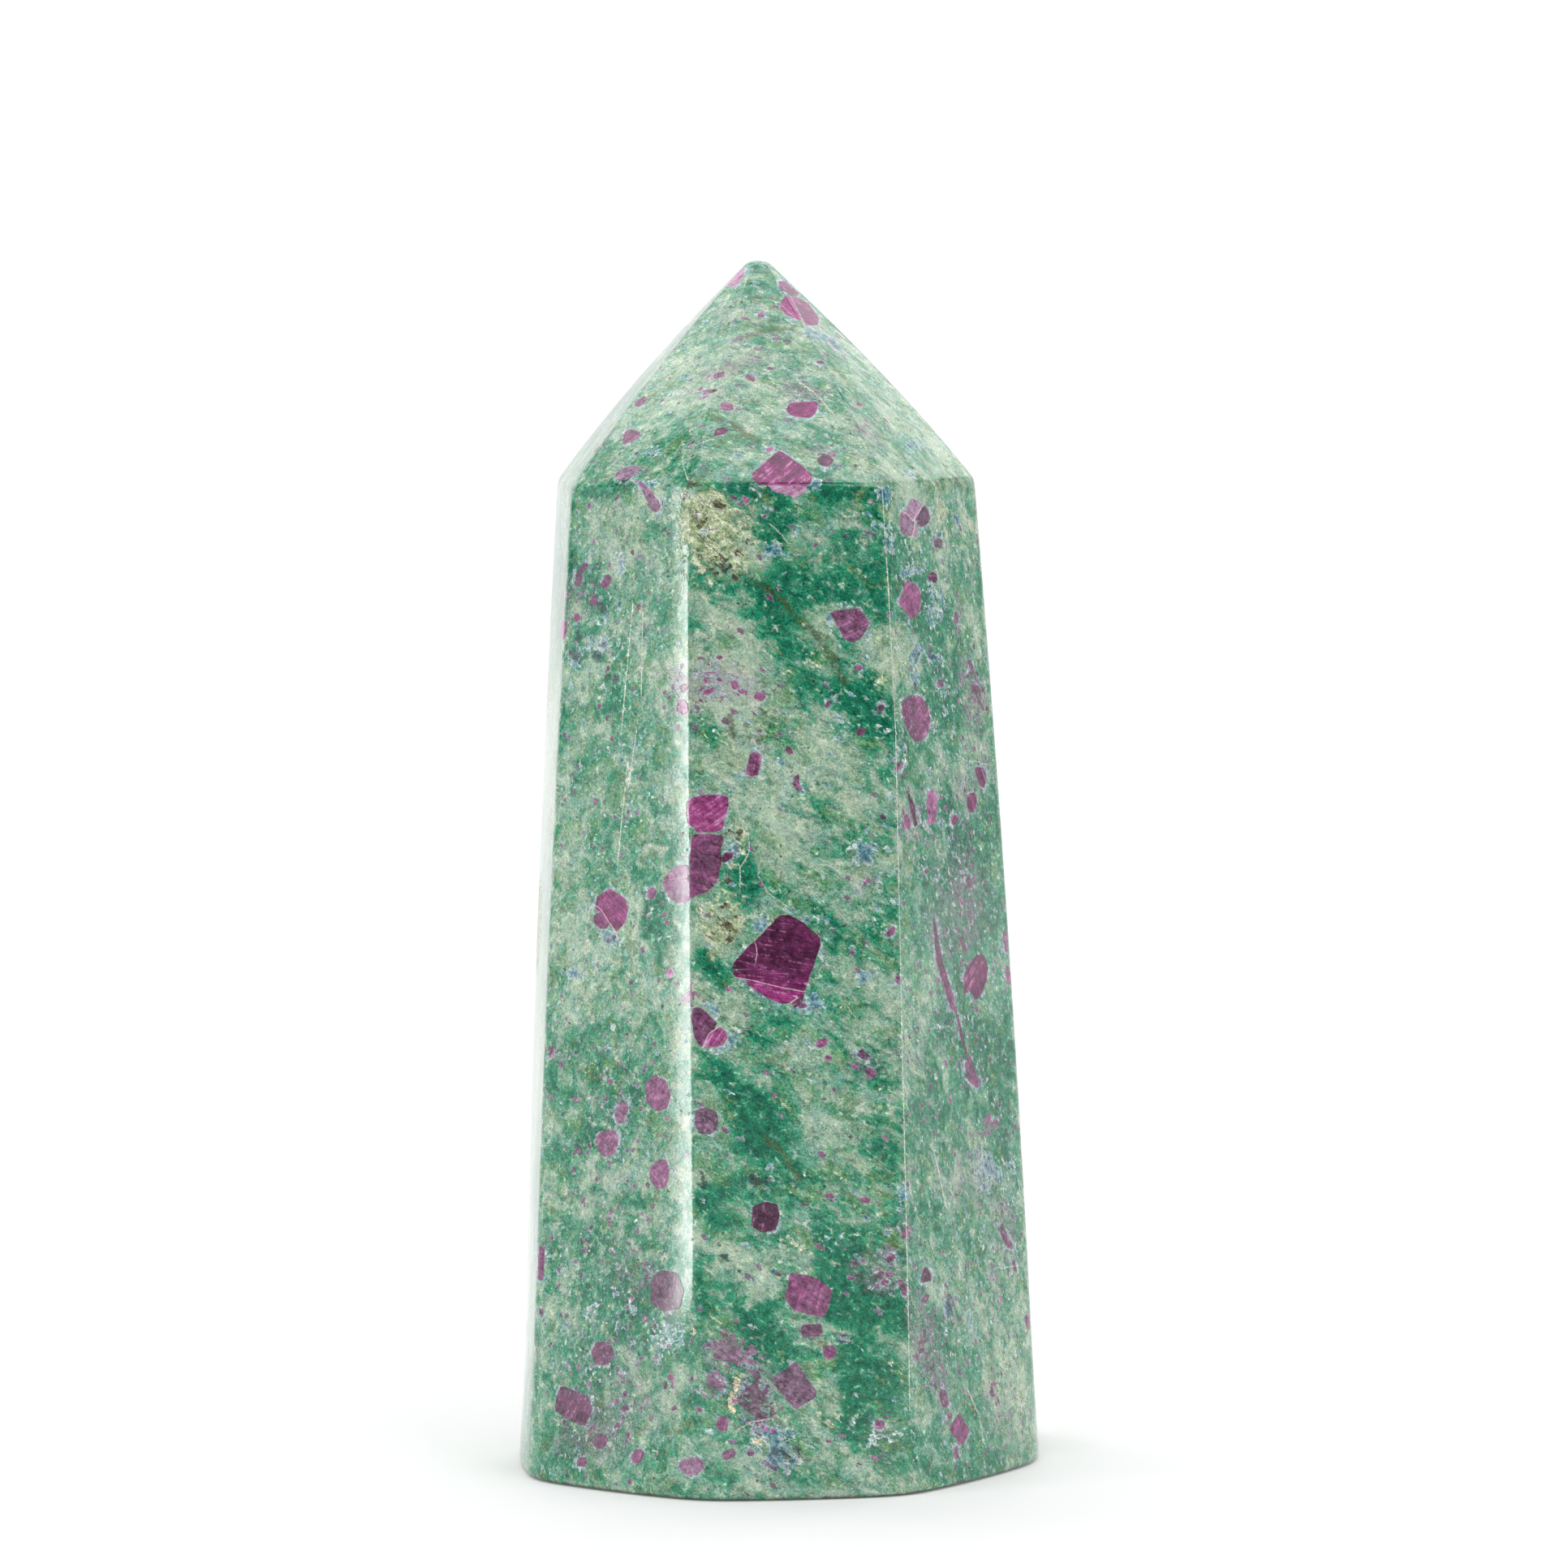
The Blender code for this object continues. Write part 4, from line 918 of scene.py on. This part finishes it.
ROCK_TONES = [
    (0.00, paint(216, 224, 198)), (0.20, paint(189, 212, 186)), (0.38, paint(155, 188, 164)),
    (0.52, paint(120, 168, 142)), (0.66, paint(66, 156, 120)), (0.81, paint(27, 130, 98)),
    (1.00, paint(6, 76, 62)),
]
CREAM_TONES = [
    (0.00, paint(84, 84, 46)), (0.22, paint(134, 138, 88)), (0.45, paint(174, 188, 142)),
    (0.70, paint(204, 212, 174)), (1.00, paint(228, 230, 206)),
]
RUBY_TONES = [
    (0.00, paint(44, 6, 34)), (0.25, paint(80, 18, 62)), (0.45, paint(120, 34, 94)),
    (0.62, paint(160, 50, 126)), (0.80, paint(194, 102, 162)), (1.00, paint(226, 182, 208)),
]
KYANITE_TONES = [
    (0.00, paint(14, 60, 92)), (0.30, paint(58, 116, 146)), (0.60, paint(136, 174, 186)),
    (1.00, paint(210, 218, 216)),
]
BROAD_SIZE = 9.0
PATCH_SIZE = 2.6
MOTTLE_SIZE = 1.1
BLADE_SIZE = 0.95
FLECK_SIZE = 0.7
STREAK_SIZE = 0.6
NEEDLE_SIZE = 0.42
FIBRE_SIZE = 0.34
GRAIN_SIZE = 0.33
FINE_SIZE = 0.2
GROWTH_LINES_PER_MM = 2.6
CRYSTAL_SPREAD = 60.0
WEATHERED_GREEN = paint(146, 168, 104)
FROST = paint(160, 194, 186)
PALE_MICA = paint(204, 218, 190)
OLIVE_CLOUD = paint(60, 88, 44)
OLIVE_STRAND = paint(74, 72, 30)
CREVICE = paint(70, 66, 36)
WHITE_FLECK = paint(210, 212, 192)
DARK_FLECK = paint(24, 36, 30)
WHITE_CLOT = paint(208, 216, 202)
DEEP_GRAIN = paint(30, 84, 70)
PURPLE_TINGE = paint(168, 128, 156)
SPECK_RIM = paint(176, 182, 190)
LAVENDER_SPECK = paint(140, 128, 152)
INK = paint(26, 42, 58)
PEACH = paint(226, 206, 178)
# Pale colour of the seams and of the painted highlight along one edge
SEAM_AND_HIGHLIGHT_WHITE = paint(218, 222, 206)
GROWTH_PINK = paint(216, 156, 196)
CLOUDED_RUBY = paint(186, 166, 188)
CRACK_PINK = paint(238, 196, 214)
CRYSTAL_RIM = paint(172, 198, 188)
# Colour of the painted contact shadow along the bevel of the foot
FOOT_CONTACT_SHADE = paint(44, 46, 36)
PIT_DARK_BROWN = paint(30, 26, 16)
PIT_OLIVE = paint(126, 118, 72)
VIEWPORT_GREEN = paint(90, 136, 110)
STONE_IOR = 1.56
DARKEST_GRAIN = 0.45
SHEET_WAY = np.array([0.01, -0.98, -0.195])
GRAIN_WAY = np.array([0.82, 0.11, -0.56])
SHEET_SCALE = (1.6, 1.0, 0.55)
NEEDLE_TURN = (0.0, 0.7, 0.2)
NEEDLE_SCALE = (4.0, 1.0, 1.0)

stone = bpy.data.materials.new("polished_ruby_in_fuchsite")
stone.use_nodes = True
stone_tree = stone.node_tree
shader = stone_tree.nodes["Principled BSDF"]
base = Field(stone_tree, None)

# Places on the stone in millimetres, drawn out along the flakes or along needles
place = base.node("ShaderNodeTexCoord", {}, {}, 3).scaled(1.0 / MM)
sheet_way = SHEET_WAY / np.linalg.norm(SHEET_WAY)
grain_way = GRAIN_WAY - (GRAIN_WAY @ sheet_way) * sheet_way
grain_way /= np.linalg.norm(grain_way)
sheet_turn = Matrix(np.column_stack([grain_way, np.cross(sheet_way, grain_way), sheet_way]).tolist())
flow = base.node("ShaderNodeMapping", {"vector_type": "TEXTURE"},
                 {"Vector": place, "Rotation": sheet_turn.to_euler(), "Scale": SHEET_SCALE})
needles = base.node("ShaderNodeMapping", {"vector_type": "TEXTURE"},
                    {"Vector": place, "Rotation": NEEDLE_TURN, "Scale": NEEDLE_SCALE})


def cloud(where, size, detail, roughness=0.6, distortion=0.0, output=0):
    """Cloudy pattern with features of this size in millimetres, as a number or as a colour."""
    return base.node("ShaderNodeTexNoise", {}, {
        "Vector": where, "Scale": 1.0 / size, "Detail": detail, "Roughness": roughness,
        "Distortion": distortion}, output)


def noise(*values):
    """Cloudy pattern about nought."""
    return cloud(*values) - 0.5


def clouds(*values):
    """Three unlike cloudy patterns about nought."""
    colour = cloud(*values, output=1)
    return [colour.part(index) - 0.5 for index in range(3)]


def grains(where, size):
    """Cells of this size in millimetres: distance from the middle, and a random colour."""
    cells = base.node("ShaderNodeTexVoronoi", {}, {"Vector": where, "Scale": 1.0 / size})
    return cells, Field(stone_tree, cells.socket.node.outputs[1])


def stored(name, output=0):
    """What the mesh stores under a name: its colour, or with 2 its number, or with 3 its alpha."""
    return base.node("ShaderNodeAttribute", {"attribute_name": name}, {}, output)


ruby = stored("ruby", 2)
crystal = stored("crystal")
broken = stored("crystal", 3)
clouding = stored("clouding", 2)
rock = stored("rock")
speck_amount = stored("rock", 3)
seam = stored("seam")
straight_line = stored("seam", 3)
mark = stored("marks")
greenness = rock.part(0)

broad = noise(flow, BROAD_SIZE, 2.0)
patches, blue_cloud, rust_cloud = clouds(flow, PATCH_SIZE, 2.0, 0.58, 0.8)
mottle, white_cloud, olive_cloud = clouds(place, MOTTLE_SIZE, 1.0, 0.6, 0.4)
streaks = noise(flow, STREAK_SIZE, 1.0, 0.6, 0.5)
fibres = noise(flow, FIBRE_SIZE, 2.0, 0.6, 0.8)
needle = noise(needles, NEEDLE_SIZE, 2.0, 0.6, 0.6)
fine = noise(place, FINE_SIZE, 1.0, 0.7)
grain_gap, grain = grains(place, GRAIN_SIZE)
grain_chance = grain.part(0) - 0.5

green_share = (greenness * 1.15 + broad * 2.2 + patches * 2.6 + mottle * 1.2).step(-1.05, 0.85)
colour = (green_share * 0.68 + white_cloud * 0.45 + streaks * 0.25 + 0.16).tones(ROCK_TONES)

# Clouds through the green: yellowish where it is weathered, frosty blue-white, and pale mica
weathered = (rust_cloud + mottle * 0.3 + streaks * 0.3 - greenness * 0.15).step(-0.03, 0.20)
colour = (weathered * (green_share * 0.3 + 0.2)).between(colour, WEATHERED_GREEN)
frost = (blue_cloud + mottle * 0.4 - greenness * 0.15).step(-0.02, 0.22)
colour = (frost * 0.38).between(colour, FROST)
mica = (streaks - white_cloud * 0.7 + fibres * 0.4 - greenness * 0.05).step(0.08, 0.34)
colour = (mica * 0.42).between(colour, PALE_MICA)
olive = (olive_cloud + streaks * 0.5 + rust_cloud * 0.5).step(0.10, 0.28)
colour = (olive * 0.42).between(colour, OLIVE_CLOUD)
mark_wander = streaks * 1.2 + fibres * 1.0 + mottle * 0.8
olive_mark = (mark.part(0) + mark_wander).step(-0.10, 0.25)
colour = (olive_mark * 0.62).between(colour, OLIVE_STRAND)

# Cream patches of fibrous pale mineral, with dark crevices between the fibres
cream_edge = (rock.part(1) + patches * 1.7 + mottle * 1.6 + streaks * 0.8).step(0.46, 0.92)
cream_shade = (patches * 1.1 + mottle * 1.3 + needle * 1.4 + 0.58).tones(CREAM_TONES)
colour = (cream_edge * 0.82).between(colour, cream_shade)
crevice = (needle + streaks * 0.25 + patches * 0.4).step(0.11, 0.20) * cream_edge
colour = (crevice * 0.8).between(colour, CREVICE)

# Flecks in a few of the grains, white or nearly black, and soft white clots that break the green
fleck_gap, fleck = grains(place, FLECK_SIZE)
fleck_reach = fleck_gap + mottle * 0.9 + fibres * 0.5 + fine * 0.3
white_fleck = (fleck.part(0) > 0.975) * fleck_reach.step(0.36, 0.02)
colour = (white_fleck * 0.35).between(colour, WHITE_FLECK)
dark_fleck = (fleck.part(1) > 0.94) * fleck_reach.step(0.30, 0.06)
colour = (dark_fleck * 0.7).between(colour, DARK_FLECK)
clot = (streaks * 0.5 - white_cloud - patches * 0.6 - greenness * 0.05).step(0.17, 0.36)
colour = (clot * 0.5).between(colour, WHITE_CLOT)

# Kyanite: small blades with pale edges, crusts with blue cores, and broken rims round the ruby
blade_gap, blade = grains(flow, BLADE_SIZE)
blade_depth = 0.38 - blade_gap + mottle * 0.8 + streaks * 0.9 + fibres * 0.5
blade_mask = (blade.part(0) + rock.part(2) * 0.35 > 0.945) * blade_depth.step(0.0, 0.08)
halo = ruby.step(-0.7, -0.1) * (patches + mottle * 0.7 + crystal.part(2) * 0.2).step(0.11, 0.25)
kyanite_depth = rock.part(2) + patches * 1.0 + mottle * 1.5 + streaks * 1.4 - 0.5
kyanite_mask = kyanite_depth.step(0.0, 0.12).at_least(halo).at_least(blade_mask)
kyanite_core = kyanite_depth.step(0.1, 0.6) * 0.35 + blade_depth.step(0.04, 0.16) * 0.3
kyanite_shade = (0.80 - kyanite_core + streaks * 1.1 + fibres * 0.5 + white_cloud * 1.1).tones(KYANITE_TONES)
deep_grain = (blade.part(1) > 0.9) * blade_depth.step(0.0, 0.10)
colour = (deep_grain * 0.5).between(colour, DEEP_GRAIN)
colour = (kyanite_mask * 0.78).between(colour, kyanite_shade)

# Ruby specks too small to have an outline: single grains, close together in some places, and a
# purple tinge in the rock round them
tinge = (speck_amount * 0.8 + mottle * 0.9 + streaks * 0.6 - rust_cloud * 1.2).step(0.10, 0.85)
colour = (tinge * 0.30).between(colour, PURPLE_TINGE)
speck_chosen = blade.part(2) + speck_amount * 0.42 - rust_cloud * 0.3 > 0.95
colour = (speck_chosen * blade_depth.step(-0.10, -0.01) * 0.4).between(colour, SPECK_RIM)
ink_mark = (mark.part(1) + mark_wander * 1.2).step(0.0, 0.12)
colour = (ink_mark * 0.75).between(colour, INK)
peach_mark = (mark.part(2) + mark_wander * 0.9).step(0.0, 0.12)
colour = (peach_mark * 0.85).between(colour, PEACH)
speck_shade = (blade.part(1) * 0.45 + streaks * 0.9 + fibres * 0.6 + 0.16).tones(RUBY_TONES)
speck_shade = (blade.part(0) * 0.75).between(speck_shade, LAVENDER_SPECK)
colour = (speck_chosen * blade_depth.step(0.0, 0.07) * 0.85).between(colour, speck_shade)

# Pale seams, which wander unless the polish drew them, and a straight painted highlight along one edge
seam_wander = (fine * 0.2 + mottle * 0.4) * (1 - straight_line)
seam_gap = abs(seam.part(0) + seam_wander) + straight_line * 0.02
seam_and_highlight_line = seam_gap.step(0.12, 0.03) * seam.part(1)
colour = (seam_and_highlight_line * (0.7 + straight_line * 0.25)).between(colour, SEAM_AND_HIGHLIGHT_WHITE)

# Ruby crystals: growth lines across a body of changing tone, cracked, clouded and rimmed
tone = crystal.part(0)
edge = ruby + mottle * 0.4 + fine * 0.12 + broken * (olive_cloud * 5.0 + streaks * 3.5 - 0.35)
ruby_mask = edge.step(-0.05, 0.08) * (1 - broken * 0.2)
line_place = base.node("ShaderNodeCombineXYZ", {}, {
    0: crystal.part(1) * GROWTH_LINES_PER_MM, 1: crystal.part(2) * CRYSTAL_SPREAD,
    2: place.part(0) * 0.14 + place.part(2) * 0.1})
growth = noise(line_place, 1.0, 3.0, 0.7)
body = patches * 0.6 + mottle * 0.3 + streaks * 0.15 + 0.09
ruby_shade = (tone * 0.54 + growth * (tone * 0.75 + 0.25) + body).tones(RUBY_TONES)
pale_line = (growth + fibres * 0.2).step(0.06, 0.13) * (mottle + blue_cloud + fibres).step(-0.08, 0.16)
pale_share = (crystal.part(2) * 0.5 + 0.2) * (1 - broken * 0.8)
ruby_shade = (pale_line * pale_share).between(ruby_shade, GROWTH_PINK)
ruby_cloud = clouding + (mottle * 0.5 + streaks * 0.6 + fibres * 1.2) * (clouding + 0.2)
ruby_shade = ruby_cloud.step(-0.12, 0.95).between(ruby_shade, CLOUDED_RUBY)
ruby_shade = (seam_and_highlight_line * 0.9).between(ruby_shade, CRACK_PINK)
colour = ruby_mask.between(colour, ruby_shade)
rim = abs(edge + 0.06).step(0.2, 0.02) * (patches + mottle).step(-0.05, 0.18)
colour = (rim * 0.5).between(colour, CRYSTAL_RIM)

# Every grain is a little lighter or darker than the next, and some flash as sparks of mica
spark = (grain.part(1) > 0.975) * (grain_gap + fine * 0.3).step(0.34, 0.16)
grain_depth = (0.5 + green_share * 0.75) * (1 - ruby_mask) + ruby_mask * 0.35
light_share = (fine * 2.1 + fibres * 1.7 + streaks * 1.1) * grain_depth + mottle * 0.6
light_share = 1.0 + light_share + grain_chance * 0.15 + spark * 0.45
colour = colour.scaled(light_share.at_least(DARKEST_GRAIN))

# The bevel that the stone stands on is darkened as a painted contact shadow, and the pits are painted dark
# brown to olive
foot_contact_shade = (place.part(2) + mottle * 0.4).step(0.62, 0.12)
colour = (foot_contact_shade * 0.8).between(colour, FOOT_CONTACT_SHADE)
pit_depth = seam.part(2)
pit_edge = pit_depth + mottle * 1.6 + needle * 2.6 + streaks * 0.8
pit_mask = pit_edge.step(0.58, 0.85) * pit_depth.step(0.05, 0.3)
pit_shade = (0.3 - needle * 2.5 + streaks * 1.5).between(PIT_DARK_BROWN, PIT_OLIVE)
colour = (pit_mask * 0.9).between(colour, pit_shade)

polish = 0.07 + cream_edge * 0.16 + kyanite_mask * 0.05 + fine * 0.10 + mottle * 0.06
polish = polish * (1 - ruby_mask * 0.1) + pit_mask * 0.4
relief = streaks * 0.0015 + fine * 0.0018 + grain_chance * 0.0006 + ruby_mask * 0.005
relief = relief - cream_edge * 0.015 - pit_mask * 0.12
relief = relief - (crevice * 0.05 + dark_fleck * 0.02) * (1 - ruby_mask)
bump = base.node("ShaderNodeBump", {}, {"Height": relief, "Distance": MM, "Strength": 1.0})
stone_tree.links.new(colour.socket, shader.inputs["Base Color"])
stone_tree.links.new(polish.socket, shader.inputs["Roughness"])
stone_tree.links.new(bump.socket, shader.inputs["Normal"])
shader.inputs["IOR"].default_value = STONE_IOR
stone.diffuse_color = VIEWPORT_GREEN
tower_mesh.materials.append(stone)
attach(tower, "root")
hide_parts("tower")


# The studio
# A white sweep of paper runs under the tower and up behind it. A tall narrow softbox at the left
# draws the bright band on the left facet, and broad ones light the stone from above and behind.
FLOOR_HALF = 1.6
FLOOR_FRONT = 2.2
SWEEP_START = 0.75
SWEEP_RADIUS = 0.45
SWEEP_TOP = 1.4
SWEEP_STEPS = 24
PAPER_NEAR, PAPER_FAR = (0.85, 0.85, 0.85, 1.0), (0.02, 0.02, 0.02, 1.0)
GLOW_NEAR, GLOW_FAR = (0.14, 0.14, 0.14, 1.0), (1.05, 1.05, 1.05, 1.0)


def sweep_profile(steps):
    """Level floor, quarter circle, then upright wall, as distances back and up."""
    turn = np.linspace(0, np.pi / 2, steps)
    back = SWEEP_START + SWEEP_RADIUS * np.sin(turn)
    up = SWEEP_RADIUS * (1 - np.cos(turn))
    return np.r_[-FLOOR_FRONT, back, back[-1]], np.r_[0.0, up, SWEEP_TOP]


sweep_back, sweep_up = sweep_profile(SWEEP_STEPS)
count = len(sweep_back)
sweep_side = np.repeat([-FLOOR_HALF, FLOOR_HALF], count)
sweep_points = np.stack([sweep_side, np.tile(sweep_back, 2), np.tile(sweep_up, 2)], axis=1)
low = np.arange(count - 1)
sweep_faces = np.stack([low, low + count, low + count + 1, low + 1], axis=1)
sweep_mesh = bpy.data.meshes.new("white_sweep")
sweep_mesh.from_pydata(sweep_points.tolist(), [], sweep_faces.tolist())
sweep_mesh.polygons.foreach_set("use_smooth", np.ones(len(sweep_mesh.polygons), bool))
sweep = bpy.data.objects.new("white_sweep", sweep_mesh)
bpy.context.scene.collection.objects.link(sweep)

# The paper is lit like a light tent's: its far parts glow, and its front is painted dark, a painted shade
# for the stone to reflect
paper = bpy.data.materials.new("white_paper")
paper.use_nodes = True
paper_shader = paper.node_tree.nodes["Principled BSDF"]
paper_place = Field(paper.node_tree, None).node("ShaderNodeTexCoord", {}, {}, 3)
from_tower = paper_place.node("ShaderNodeVectorMath", {"operation": "LENGTH"}, {0: paper_place}, 1)
far = from_tower.step(0.2, 0.8)
front = paper_place.part(1).step(-0.12, -0.35)
paper_colour = (far * (1 - front) + front * 0.7).between(PAPER_NEAR, PAPER_FAR)
paper_glow = (far * (1 - front * 0.8)).between(GLOW_NEAR, GLOW_FAR)
paper.node_tree.links.new(paper_colour.socket, paper_shader.inputs["Base Color"])
paper.node_tree.links.new(paper_glow.socket, paper_shader.inputs["Emission Color"])
paper_shader.inputs["Roughness"].default_value = 0.9
paper_shader.inputs["Emission Strength"].default_value = 1.0
sweep_mesh.materials.append(paper)


def softbox(name, place, aim, width, height, power, lean=0.0):
    """An area light turned towards its aim and leaning by some degrees; power in watts."""
    data = bpy.data.lights.new(name, "AREA")
    data.shape = "RECTANGLE"
    data.size = width
    data.size_y = height
    data.energy = power
    light = bpy.data.objects.new(name, data)
    back = np.array(place) - np.array(aim)
    back /= np.linalg.norm(back)
    right = np.cross([0.0, 0.0, 1.0], back)
    right /= np.linalg.norm(right)
    up = np.cross(back, right)
    turn = np.radians(lean)
    right, up = right * np.cos(turn) + up * np.sin(turn), up * np.cos(turn) - right * np.sin(turn)
    light.matrix_world = turned(right, up, back, place)
    bpy.context.scene.collection.objects.link(light)


softbox("left_strip", (-0.2249, -0.1328, 0.20), (-0.012, -0.031, 0.20), 0.0085, 0.40, 0.145, 0.6)
softbox("left", (-0.86, -0.30, 0.20), (0.0, 0.0, 0.08), 0.36, 0.80, 0.9)
softbox("right_strip", (0.32, -0.20, 0.20), (0.0, 0.0, 0.08), 0.02, 0.40, 0.16)
softbox("right_back", (0.88, 0.26, 0.20), (0.0, 0.0, 0.08), 0.40, 0.60, 0.48)
softbox("upper_left", (-0.6, -0.80, 0.95), (0.0, 0.0, 0.07), 0.7, 0.7, 3.4)
softbox("upper_right", (0.7, -0.8, 0.85), (0.0, 0.0, 0.07), 0.7, 0.7, 3.0)
softbox("overhead", (0.10, 0.08, 1.2), (0.0, 0.0, 0.07), 1.4, 1.0, 8.8)
softbox("upper_back", (-0.68, 0.43, 1.1), (0.0, 0.0, 0.10), 0.55, 0.55, 2.0)
softbox("back_right", (0.69, 0.70, 0.84), (0.0, 0.0, 0.10), 0.5, 0.5, 1.0)

WORLD_STRENGTH = 0.13
world = bpy.context.scene.world or bpy.data.worlds.new("studio")
bpy.context.scene.world = world
world.use_nodes = True
background = world.node_tree.nodes["Background"]
background.inputs["Color"].default_value = (1.0, 1.0, 1.0, 1.0)
background.inputs["Strength"].default_value = WORLD_STRENGTH
bpy.context.scene.view_settings.view_transform = "Standard"
